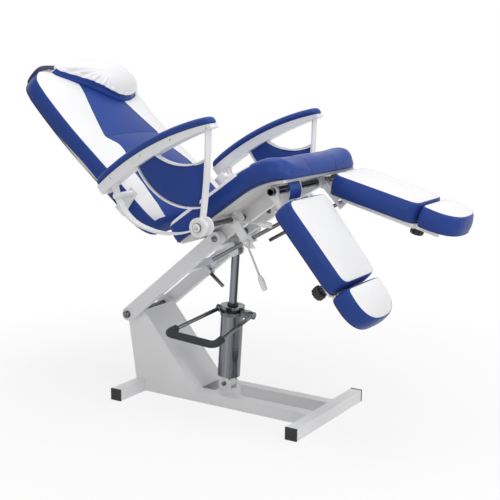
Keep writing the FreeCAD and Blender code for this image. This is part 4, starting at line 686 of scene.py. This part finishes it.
class CHAIR_OT_stage(bpy.types.Operator):
    """Camera, floor, soft light and white surroundings"""

    bl_idname = "chair.stage"
    bl_label = "Stage"

    def execute(self, context):
        camera = bpy.data.objects.new("camera", bpy.data.cameras.new("camera"))
        camera.data.lens, camera.data.sensor_width = 73.27, 36.0
        eye, aim = Vector((-2.845, -1.8298, 1.1718)), Vector((0.0, -0.0461, 0.5377))
        turn = (aim - eye).to_track_quat("-Z", "Y").to_matrix().to_4x4()
        camera.matrix_world = Matrix.Translation(eye) @ turn @ Matrix.Rotation(math.radians(0.29), 4, "Z")
        scene = context.scene
        scene.collection.objects.link(camera)
        scene.camera = camera
        scene.view_settings.view_transform = "Standard"
        self.floor()
        self.world(scene)
        for name, spot, size, power in (("key", (-0.9, -1.9, 3.0), 1.9, 36), ("top", (0.0, 0.5, 3.2), 2.2, 32),
                                        ("front", (0.5, -3.0, 1.7), 1.6, 19), ("fill", (-3.2, -0.4, 1.6), 2.4, 15)):
            lamp = bpy.data.lights.new(name, "AREA")
            lamp.shape, lamp.size, lamp.energy = "DISK", size, power
            light = bpy.data.objects.new(name, lamp)
            light.matrix_world = Matrix.Translation(spot) @ (Vector((0, 0, 0.6)) - Vector(spot)).to_track_quat(
                "-Z", "Y").to_matrix().to_4x4()
            scene.collection.objects.link(light)
        return {"FINISHED"}

    def floor(self):
        """Wide pale floor that is white to the eye and keeps the chair's shadow."""
        material = bpy.data.materials.new("pale_studio_floor")
        material.use_nodes = True
        tree = material.node_tree
        tree.nodes.clear()
        seen = seen_share(tree)
        spot = add_node(tree, "ShaderNodeTexCoord").outputs["Object"]
        away = add_node(tree, "ShaderNodeVectorMath", {"operation": "LENGTH"}, in0=spot).outputs["Value"]
        share = add_node(tree, "ShaderNodeMapRange", {"interpolation_type": "SMOOTHSTEP"}, Value=away, From_Min=0.5,
                         From_Max=1.7, To_Min=0.8, To_Max=1.0)
        part = add_node(tree, "ShaderNodeMath", {"operation": "MULTIPLY"}, in0=seen,
                        in1=share.outputs["Result"])
        matt = add_node(tree, "ShaderNodeBsdfDiffuse", Color=(0.9, 0.9, 0.9, 1))
        glow = add_node(tree, "ShaderNodeEmission", Color=(1, 1, 1, 1), Strength=1.0)
        mix = add_node(tree, "ShaderNodeMixShader", in0=part.outputs[0], in1=matt.outputs[0], in2=glow.outputs[0])
        add_node(tree, "ShaderNodeOutputMaterial", Surface=mix.outputs[0])
        ring = [(9 * math.cos(math.pi * i / 24), 9 * math.sin(math.pi * i / 24), -0.0005) for i in range(48)]
        floor = new_piece("floor", ring, [tuple(range(48))], (material,))

    def world(self, scene):
        """Even light from all round, plain white where it is seen."""
        world = bpy.data.worlds.new("studio")
        world.use_nodes = True
        tree = world.node_tree
        tree.nodes.clear()
        seen = seen_share(tree)
        dim = add_node(tree, "ShaderNodeBackground", Color=(1, 1, 1, 1), Strength=0.3)
        white = add_node(tree, "ShaderNodeBackground", Color=(1, 1, 1, 1), Strength=1.0)
        mix = add_node(tree, "ShaderNodeMixShader", in0=seen, in1=dim.outputs[0], in2=white.outputs[0])
        add_node(tree, "ShaderNodeOutputWorld", Surface=mix.outputs[0])
        scene.world = world


class CHAIR_OT_steelwork(bpy.types.Operator):
    """Finishes of all frame nodes"""

    bl_idname = "chair.steelwork"
    bl_label = "Steelwork"

    def execute(self, context):
        colours = context.scene.chair_colours
        make_finishes(colours)
        for name, node in frame["nodes"].items():
            finish = FINISH[SLOT_OF[name]]
            if SLOT_OF[name] == "chrome_steel":
                _, way, _, reach = axis_of(name)
                # each chrome node gets its painted reflection bands laid along its own axis, no wider than 0.7 of
                # its radius
                finish = plated_steel("chrome_plated_" + name, colours.chrome, 0.07, 0.14, 0.75, way,
                                      min(14 * MM, 0.7 * reach))
            elif name.endswith("lever_rod"):
                finish = FINISH["rod_enamel"]
            node.data.materials.clear()
            node.data.materials.append(finish)
        return {"FINISHED"}


class CHAIR_OT_seat_cushion(bpy.types.Operator):
    """Seat cushion with a waterfall front, side bands and a centre panel"""

    bl_idname = "chair.seat_cushion"
    bl_label = "Seat cushion"

    def execute(self, context):
        sizes = context.scene.chair_sizes
        nose, white_end = 457.85, 364 * MM
        places = [0, 73, 147, 220, 293, 320, 348, 375, 403, 472]
        widths = [498, 495, 490, 486, 487, 489, 491, 494, 497, 498]

        def shape(along):
            mm = along / MM
            width = np.interp(mm, places, widths) * MM - 6 * MM
            panel = np.interp(mm, [0, 120, 260, 360, nose], [150, 128, 104, 90, 88]) * MM
            dip = np.interp(mm, [250, 400, 472], [0, 12, 14]) * MM
            return width, 72 * MM, 10 * MM, 5 * MM, 20 * MM, panel, -dip

        rows = stations(SEAT_END, 11 * MM, 20 * MM, 54 * MM)
        obj, count, tops, far = lofted_pad("seat_cover", rows, seat_place, shape,
                                            lambda along: 8 * MM < along < white_end, (9, 14), drop=1)
        last = len(rows) - 1
        edge_seams = [far, tops[0]]
        panels = [tops[1], tops[2]]
        held = held_base(count, last)
        for number in edge_seams + panels:
            held += column(count, number, 0, last)
        front = min(range(last + 1), key=lambda r: abs(rows[r][0] - white_end))
        held += [front * count + i for i in range(tops[0], far + 1) if not tops[1] < i < tops[2]]
        held += list(range(last * count + count, len(obj.data.vertices)))
        inflate(obj, held, 4.0, sizes.seat_swell)
        soften(obj)
        settle(obj, "seat", "vinyl_blue", "seat_cushion")
        for name, number in (("seat_seam_right", panels[1]), ("seat_seam_left", panels[0])):
            spots = place_of(obj, column(count, number, 3, last))
            spots.append(seat_place(spots[-1].x, SEAT_END + 0.6 * MM, 4 * MM))
            settle(sewn_line(name, spots, sizes.seam, "navy"), "seat", "vinyl_blue")
        for name, number in (("seat_trim_right", count - 2), ("seat_trim_left", BASE_POINTS)):
            line = sewn_line(name, place_of(obj, column(count, number, 2, last - 2)), sizes.trim, "navy")
            settle(line, "seat", "vinyl_blue")
        return {"FINISHED"}


class CHAIR_OT_back_cushion(bpy.types.Operator):
    """Back cushion with side bands, an hourglass panel and a lumbar rise"""

    bl_idname = "chair.back_cushion"
    bl_label = "Back cushion"

    def execute(self, context):
        sizes = context.scene.chair_sizes
        places = [-15, 150, 337, 450, 525, 600, 645, 675, 694, 709, 721.5, 733, 739.5, 745, 750]
        widths = [500, 494, 490, 493, 495, 497, 496, 486, 460, 424, 380, 326, 284, 240, 196]
        start = -15 * MM

        def shape(along):
            mm = (along + start) / MM
            width = np.interp(mm, places, widths) * MM + 5 * MM
            panel = np.interp(mm, [0, 55, 205, 290, 330, 376, 470, 585, 750],
                              [190, 184, 168, 128, 122, 148, 119, 82, 54]) * MM
            rise = np.interp(mm, [30, 130, 220, 330, 376], [0, 0.9, 1, 0.5, 0]) * sizes.lumbar
            crown = np.interp(mm, [620, 750], [19, 6]) * MM
            return width, 57 * MM, crown, 4 * MM, 17 * MM, panel, rise

        def place(x, along, up):
            return back_place(x, along + start, up)

        length = BACK_TOP - start
        rows = [row for row in stations(length, 11 * MM, 64 * MM, 8 * MM) if row[0] < 640 * MM or row[1] > 0]
        dome = (651, 662, 673, 683, 692, 700, 708, 716, 723, 730, 736, 742, 747, 751, 754.5)
        rows += [(along * MM, 0.0) for along in dome]
        rows = sorted(rows)
        obj, count, tops, far = lofted_pad("back_cover", rows, place, shape, lambda along: along > 16 * MM,
                                            (9, 16), 13.8 * MM, 0.4)
        last = len(rows) - 1
        held = held_base(count, last)
        for number in (tops[0], far, tops[1], tops[2]):
            held += column(count, number, 0, last)
        cross = min(range(last + 1), key=lambda r: abs(rows[r][0] + start - 376 * MM))
        across = [cross * count + i for i in range(tops[1], tops[2] + 1)]
        held += across + list(range((last + 1) * count, len(obj.data.vertices)))
        held += [r * count + i for r in range(last + 1) if rows[r][0] > 735 * MM for i in range(count)]
        inflate(obj, held, 4.0, sizes.back_swell)
        soften(obj)
        settle(obj, "backrest", "vinyl_blue", "back_cushion")
        for name, numbers in (("back_seam_right", column(count, tops[2], 5, last - 3)),
                              ("back_seam_left", column(count, tops[1], 5, last - 3)), ("back_seam_cross", across)):
            settle(sewn_line(name, place_of(obj, numbers), sizes.seam, "navy"), "backrest", "vinyl_blue")
        for name, number in (("back_trim_right", count - 2), ("back_trim_left", BASE_POINTS)):
            line = sewn_line(name, place_of(obj, column(count, number, 3, last - 2)), sizes.trim, "navy")
            settle(line, "backrest", "vinyl_blue")
        return {"FINISHED"}


class CHAIR_OT_head_pillow(bpy.types.Operator):
    """Head pillow with gathered ends, on its strap round the backrest"""

    bl_idname = "chair.head_pillow"
    bl_label = "Head pillow"

    def execute(self, context):
        sizes = context.scene.chair_sizes
        plan = [(-158, 706), (-150, 686), (-110, 662), (-70, 636), (-35, 612), (-5, 588), (25, 566), (60, 550),
                (95, 545), (135, 550), (180, 568), (222, 600), (246, 636), (249, 666), (232, 695), (195, 716),
                (140, 727), (60, 732), (-20, 732), (-90, 729), (-140, 722)]
        outline = filleted([(x * MM, y * MM, 60 * MM) for x, y in plan], 4 * MM)
        count, rise = len(outline), 61 * MM

        def place(x, along, up):
            return back_place(x, along, rise + up - 10 * MM * ((x - 0.04) / 0.2) ** 2)

        def gather(turn, share, zone, up):
            if zone == "base" or up < 9 * MM:
                return 0.0
            angle = 2 * math.pi * turn
            near = 0.16 + math.exp(-((turn - 0.17) / 0.09) ** 2)
            wave = math.sin(33 * angle + 3 * math.sin(5 * angle)) + 0.7 * math.sin(19 * angle + 1.3)
            puff = 17 * MM * math.exp(-((turn - 0.2) / 0.11) ** 2)
            if zone == "side":
                return puff * min(1.0, up / (36 * MM)) + 0.8 * MM * near * wave
            return (puff * share + 2.6 * MM * near * wave * share ** 3) * share

        obj, seam, _, held = boxed_pad("pillow_cover", outline, place, 36 * MM, 34 * MM, 8 * MM, 13 * MM, gather)
        for face in obj.data.polygons:
            turn = face.vertices[0] % count / count
            if face.material_index == 0 and not 0.015 < turn < 0.43:
                face.material_index = 1
        inflate(obj, held, 5.0, sizes.pillow_swell)
        soften(obj)
        settle(obj, "backrest", "vinyl_white", "head_pillow")
        line = sewn_line("pillow_seam", place_of(obj, seam), 0.8 * MM, "vinyl_white", True)
        settle(line, "backrest", "vinyl_white")
        self.strap("right", ((-136, 702, 84), (-160, 711, 76), (-182, 718, 69), (-199, 719, 61), (-209, 717, 48),
                             (-213, 715, 30), (-213, 714, 8), (-208, 712, -15)))
        self.strap("left", ((222, 640, 82), (236, 639, 72), (247, 638, 62), (253, 637, 50), (257, 636, 32),
                            (258, 636, 8), (254, 636, -15)))
        return {"FINISHED"}

    def strap(self, side, path):
        """Elastic tape from the end of the pillow round the edge of the backrest."""
        points, faces = [], []
        for x, along, up in path:
            for wide in (-10, -3, 3, 10):
                points.append(back_place(x * MM, (along + wide) * MM, up * MM))
        for r in range(len(path) - 1):
            for i in range(3):
                quad = (r * 4 + i, r * 4 + i + 1, r * 4 + i + 5, r * 4 + i + 4)
                faces.append(quad if side == "left" else quad[::-1])
        tape = new_piece(f"pillow_strap_{side}", points, faces, (FINISH["navy"],))
        thick = tape.modifiers.new("thick", "SOLIDIFY")
        thick.thickness, thick.offset = 1.6 * MM, 1.0
        soften(tape)
        settle(tape, "backrest", "vinyl_blue")


class CHAIR_OT_leg_pads(bpy.types.Operator):
    """Calf and foot pads of both leg rests"""

    bl_idname = "chair.leg_pads"
    bl_label = "Leg pads"

    def execute(self, context):
        sizes = context.scene.chair_sizes
        calf = [(-122, 64, 38), (122, 64, 38), (115, 210, 400), (108.5, 366, 38), (-108.5, 366, 38),
                (-115, 210, 400)]
        sole = [(-108.5, 376, 34), (108.5, 376, 34)]
        for degrees in range(6, 175, 12):
            turn = math.radians(degrees)
            across = math.copysign(109 * abs(math.cos(turn)) ** 0.75, math.cos(turn))
            sole.append((across, 412 + 90 * math.sin(turn) ** 0.85, 14))
        for way, side in SIDES:
            place = leg_place(way, side)
            for name, corners, body, node, slope in (
                    (f"calf_cover_{side}", calf, "leg_" + side, "leg_cushion_" + side, 0.0),
                    (f"sole_cover_{side}", sole, "foot_" + side, "foot_cushion_" + side, 0.06)):
                outline = filleted([(x * MM, y * MM, r * MM) for x, y, r in corners], 6.5 * MM)
                toe = corners[0][1] * MM

                def lie(x, along, up):
                    return place(x, along, up * (1 - slope * max(0.0, along - toe) / 0.126))

                obj, seam, foot, held = boxed_pad(name, outline, lie, 71 * MM, 10 * MM, 3 * MM, 17 * MM)
                inflate(obj, held, 4.0, sizes.leg_swell)
                soften(obj)
                settle(obj, body, "vinyl_white", node)
                line = sewn_line(name.replace("cover", "seam"), place_of(obj, seam), 0.7 * MM, "vinyl_blue", True)
                settle(line, body, "vinyl_blue")
                line = sewn_line(name.replace("cover", "trim"), place_of(obj, foot), 1.6 * MM, "navy", True)
                settle(line, body, "vinyl_blue")
        return {"FINISHED"}


class CHAIR_OT_arm_pads(bpy.types.Operator):
    """Pads and side panels of both armrests"""

    bl_idname = "chair.arm_pads"
    bl_label = "Armrest pads"

    def execute(self, context):
        sizes = context.scene.chair_sizes
        for way, side in SIDES:
            rows = stations(ARM_LENGTH, 9 * MM, 17 * MM, 17 * MM)

            def shape(along):
                full = np.interp(along / ARM_LENGTH, [0, 0.12, 0.85, 1], [0.9, 1, 1, 0.96])
                return 50 * MM * full, 21 * MM * full, 3 * MM, 1.5 * MM, 9 * MM, 8 * MM, 0.0

            obj, count, _, _ = lofted_pad(f"arm_cover_{side}", rows, arm_place(way), shape, lambda along: False,
                                          (4, 4))
            last = len(rows) - 1
            held = held_base(count, last) + list(range((last + 1) * count, len(obj.data.vertices)))
            inflate(obj, held, 4.0, sizes.arm_swell)
            soften(obj)
            settle(obj, "backrest", "vinyl_blue", "armrest_pad_" + side)
        panels = [self.panel(way, side) for way, side in SIDES]
        for obj, held in panels:
            inflate(obj, held, 4.0, sizes.arm_swell)
            soften(obj)
            settle(obj, "backrest", "vinyl_blue", "armrest_panels")
        return {"FINISHED"}

    def panel(self, way, side):
        """Padded panel between the two rims of an armrest."""
        high = [hub_point(190, 226), hub_point(82, 185), hub_point(-25, 209)]
        low = [hub_point(248, 186), hub_point(134, 72), hub_point(0, 60)]
        edge = []
        for curve, gap, back in ((high, 3.6 * MM, False), (low, -3.6 * MM, True)):
            (y, z), radius = circle(*curve)
            reach = radius + gap
            ends = [math.atan2(p[1] - z, p[0] - y) for p in (curve[0], curve[2])]
            if ends[0] - ends[1] > math.pi:
                ends[0] -= 2 * math.pi
            trims = (0.02, 0.965) if not back else (0.05, 0.965)
            run = [ends[0] + (ends[1] - ends[0]) * (trims[0] + (trims[1] - trims[0]) * i / 24) for i in range(25)]
            spots = [(y + reach * math.cos(a), z + reach * math.sin(a)) for a in run]
            edge.append(spots if not back else spots[::-1])
        path = edge[0] + edge[1]
        outline = filleted([(y, z, 4 * MM) for y, z in path], 6 * MM)
        centre = np.array([tuple(p) for p in outline]).mean(axis=0)
        count, half = len(outline), 6.5 * MM
        face = [(0.25, 1.0), (0.5, 1.0), (0.75, 0.98), (0.9, 0.9), (0.97, 0.7), (1, 0.4)]
        rows = face + [(share, -deep) for share, deep in reversed(face)]
        spots = [Vector((way * ARM_X - way * half * deep, centre[0] + share * (p[0] - centre[0]),
                         centre[1] + share * (p[1] - centre[1]))) for share, deep in rows for p in outline]
        faces = bridged(len(rows), count)
        spots += [Vector((way * ARM_X - way * half, *centre)), Vector((way * ARM_X + way * half, *centre))]
        for i in range(count):
            j = (i + 1) % count
            faces += [(12 * count, j, i), (12 * count + 1, 11 * count + i, 11 * count + j)]
        if way < 0:
            faces = [face[::-1] for face in faces]
        obj = new_piece(f"arm_panel_{side}", spots, faces, (FINISH["vinyl_blue"],))
        return obj, [r * count + i for r in (5, 6) for i in range(count)]


class CHAIR_OT_front_flaps(bpy.types.Operator):
    """Soft flaps below the front of the seat"""

    bl_idname = "chair.front_flaps"
    bl_label = "Front flaps"

    def execute(self, context):
        for way, side in SIDES:
            points, faces, wide, tall = [], [], 14, 16
            row = wide + 1
            for r in range(tall + 1):
                track = Track(*LEG_HINGE, 36 - 61 * r / tall, -1)
                crease = 1.6 * math.exp(-((r / tall - 0.14) / 0.07) ** 2)
                for i in range(wide + 1):
                    share = i / wide
                    x = 126 + 69.4 * share
                    reach = 55 + 0.9 * math.sin(9 * share) * r / tall - crease
                    points.append(Vector((way * x * MM, *track.at(reach * MM))))
            for r in range(tall):
                for i in range(wide):
                    quad = (r * row + i, r * row + i + 1, (r + 1) * row + i + 1, (r + 1) * row + i)
                    faces.append(quad if way < 0 else quad[::-1])
            flap = new_piece(f"front_flap_{side}", points, faces, (FINISH["vinyl_blue"],))
            thick = flap.modifiers.new("thick", "SOLIDIFY")
            thick.thickness, thick.offset = 2.4 * MM, -1.0
            soften(flap)
            settle(flap, "seat", "vinyl_blue", "front_flaps")
        return {"FINISHED"}


class CHAIR_OT_knobs(bpy.types.Operator):
    """Clamp knobs with grip lobes"""

    bl_idname = "chair.knobs"
    bl_label = "Clamp knobs"

    def execute(self, context):
        lobes = context.scene.chair_sizes.lobes
        for _, side in SIDES:
            joint = JOINTS["knob_turn_" + side]
            rows = [(4, -1.5, 0), (4, 3, 0), (9, 3.2, 0), (9.4, 8, 0), (9.8, 13, 0), (14, 16, 0.2), (21, 16.6, 1),
                    (22.7, 19, 1), (23, 27, 1), (23, 37, 1), (22.2, 41, 1), (19, 43.4, 0.6), (13, 43.8, 0),
                    (12, 42.6, 0), (4, 42.4, 0)]
            knob = turned(f"grip_knob_{side}", joint["pos_m"], joint["axis"], scaled(rows),
                          "black_plastic", lobes, 0.13, 80)
            soften(knob)
            settle(knob, "knob_" + side, "black_plastic", "clamp_knob_" + side)
        return {"FINISHED"}


class CHAIR_OT_lever_grips(bpy.types.Operator):
    """White grips of the two release levers"""

    bl_idname = "chair.lever_grips"
    bl_label = "Lever grips"

    def execute(self, context):
        for kind in ("recline_lever", "legs_lever"):
            middle, way, half, _ = axis_of(kind + "_grip")
            rod_middle = (Vector(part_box(kind + "_rod")[0]) + Vector(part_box(kind + "_rod")[1])) / 2
            if (middle - rod_middle).dot(way) < 0:
                way = -way
            rows = [(5, -1, 0), (6.6, -0.98, 0), (7.2, -0.86, 0), (7.2, -0.74, 0), (8.6, -0.68, 0), (9.8, -0.5, 0),
                    (10, -0.1, 0), (9.4, 0.3, 0), (9.1, 0.6, 0), (8.9, 0.8, 0), (7.6, 0.94, 0), (4, 1, 0)]
            grip = turned(kind + "_handle", middle, way, scaled(rows, half), "grip_white")
            soften(grip)
            settle(grip, kind, "grip_white", kind + "_grip")
        return {"FINISHED"}


class CHAIR_OT_pedal_sleeve(bpy.types.Operator):
    """Ribbed rubber sleeve of the pump pedal"""

    bl_idname = "chair.pedal_sleeve"
    bl_label = "Pedal sleeve"

    def execute(self, context):
        middle, way, _, _ = axis_of("pedal_sleeve")
        way = way if way.y > 0 else -way
        over = Vector((1, 0, 0)).cross(way)

        def spot(x, y, z):
            return middle + Vector((x, 0, 0)) + way * y + over * z

        def on_path(number):
            want = gone[-1] * number / count
            return Vector([np.interp(want, gone, [p[axis] for p in path]) for axis in range(3)])

        # the bar's two corners and the arms that lead from them to the pump head
        path = []
        for end, arm in ((-95 * MM, (0.981, 0.037, 0.19)), (95 * MM, (0.963, -0.194, 0.186))):
            corner, lead = spot(0, end, 0), spot(*arm) - middle
            first, last = corner + lead * 24 * MM, corner - way * math.copysign(24 * MM, end)
            bend = [corner + lead * 46 * MM] + [first * (1 - t) ** 2 + corner * 2 * t * (1 - t) + last * t * t
                                                for t in (0, 0.125, 0.25, 0.375, 0.5, 0.625, 0.75, 0.875, 1)]
            path += bend if end < 0 else bend[::-1]
        gone = [0.0]
        for here, ahead in zip(path, path[1:]):
            gone.append(gone[-1] + (ahead - here).length)
        rib, sides = context.scene.chair_sizes.rib, 28
        count = round(gone[-1] / rib) * 4
        points = []
        for i in range(count + 1):
            place = on_path(i)
            ahead = (on_path(min(i + 1, count)) - on_path(max(i - 1, 0))).normalized()
            side = ahead.cross(over).normalized()
            up = side.cross(ahead)
            radius = (8.4 if i in (0, count) else (11.3, 12.8, 13, 12.8)[i % 4]) * MM
            points += [place + side * radius * math.cos(2 * math.pi * n / sides)
                       + up * radius * math.sin(2 * math.pi * n / sides) for n in range(sides)]
        faces = [(a, d, c, b) for a, b, c, d in bridged(count + 1, sides)]
        faces += [tuple(range(sides)), tuple(reversed(range(count * sides, count * sides + sides)))]
        sleeve = new_piece("pedal_grip", points, faces, (FINISH["sleeve_rubber"],))
        settle(sleeve, "pedal", "sleeve_rubber", "pedal_sleeve")
        return {"FINISHED"}


class CHAIR_OT_fasteners(bpy.types.Operator):
    """Screws, hub caps and bolts, and the pump's rubber rings"""

    bl_idname = "chair.fasteners"
    bl_label = "Fasteners"

    def execute(self, context):
        for way, side in SIDES:
            for count, (y, z) in enumerate(((333.6, 122.6), (221, 213), (107, 276.9), (-30, 314))):
                angle = arm_angle(hub_point(y, z))
                reach = ARM_RADIUS - 11 * MM
                spot = (way * 352 * MM, ARM_MIDDLE[0] + reach * math.cos(angle),
                        ARM_MIDDLE[1] + reach * math.sin(angle))
                screw = pan_screw(f"arm_screw_{side}_{count}", spot, (way, 0, 0), 3.6 * MM)
                settle(screw, "backrest", "chrome_steel")
            rows = [(13, 0, 0), (13.5, 0.6, 0), (13.5, 1.2, 0), (12.6, 2, 0), (8, 2.3, 0), (7, 2.3, 0)]
            cap = turned(f"hub_cap_{side}", (way * 358.5 * MM, *HUB), (way, 0, 0), scaled(rows), "grip_white")
            settle(cap, "seat", "grip_white")
            bolt = hex_head(f"hub_bolt_{side}", (way * 360.6 * MM, *HUB), (way, 0, 0), 9 * MM, 5 * MM)
            settle(bolt, "seat", "chrome_steel")
        lean = Vector(JOINTS["pump_stroke"]["axis"])
        foot = Vector(JOINTS["pump_lean"]["pos_m"])
        rows = [(14.3, 277, 0), (19, 277, 0), (19.5, 279, 0), (19, 283, 0), (16, 285.5, 0), (14.3, 285.5, 0)]
        seal = turned("pump_wiper", foot, lean, scaled(rows), "sleeve_rubber")
        settle(seal, "pump_barrel", "sleeve_rubber")
        rows = [(16, 18, 0), (22, 18.6, 0), (23, 21, 0), (23, 28, 0), (22, 30.2, 0), (16, 30.4, 0)]
        ring = turned("pump_boot", foot, lean, scaled(rows), "sleeve_rubber")
        settle(ring, "pump_barrel", "sleeve_rubber")
        return {"FINISHED"}


class CHAIR_PT_panel(bpy.types.Panel):
    """Lists the steps and the sizes and colours"""

    bl_idname = "CHAIR_PT_panel"
    bl_label = "Pedicure chair"
    bl_space_type = "VIEW_3D"
    bl_region_type = "UI"
    bl_category = "Chair"

    def draw(self, context):
        for group in (context.scene.chair_sizes, context.scene.chair_colours):
            for key in group.bl_rna.properties.keys():
                if key not in ("rna_type", "name"):
                    self.layout.prop(group, key)
        for step in STEPS:
            self.layout.operator(step.bl_idname)


STEPS = (CHAIR_OT_stage, CHAIR_OT_steelwork, CHAIR_OT_seat_cushion, CHAIR_OT_back_cushion, CHAIR_OT_head_pillow,
         CHAIR_OT_leg_pads, CHAIR_OT_arm_pads, CHAIR_OT_front_flaps, CHAIR_OT_knobs, CHAIR_OT_lever_grips,
         CHAIR_OT_pedal_sleeve, CHAIR_OT_fasteners)
CLASSES = (ChairSizes, ChairColours, *STEPS, CHAIR_PT_panel)


def register():
    """Makes the properties, the steps and the panel known."""
    for kind in CLASSES:
        bpy.utils.register_class(kind)
    bpy.types.Scene.chair_sizes = PointerProperty(type=ChairSizes)
    bpy.types.Scene.chair_colours = PointerProperty(type=ChairColours)


def unregister():
    """Takes them away again."""
    del bpy.types.Scene.chair_colours
    del bpy.types.Scene.chair_sizes
    for kind in reversed(CLASSES):
        bpy.utils.unregister_class(kind)


def main():
    """Dresses the chair step by step."""
    register()
    bpy.ops.chair.stage()
    bpy.ops.chair.steelwork()
    bpy.ops.chair.seat_cushion()
    bpy.ops.chair.back_cushion()
    bpy.ops.chair.head_pillow()
    bpy.ops.chair.leg_pads()
    bpy.ops.chair.arm_pads()
    bpy.ops.chair.front_flaps()
    bpy.ops.chair.knobs()
    bpy.ops.chair.lever_grips()
    bpy.ops.chair.pedal_sleeve()
    bpy.ops.chair.fasteners()


if __name__ == "__main__":
    main()
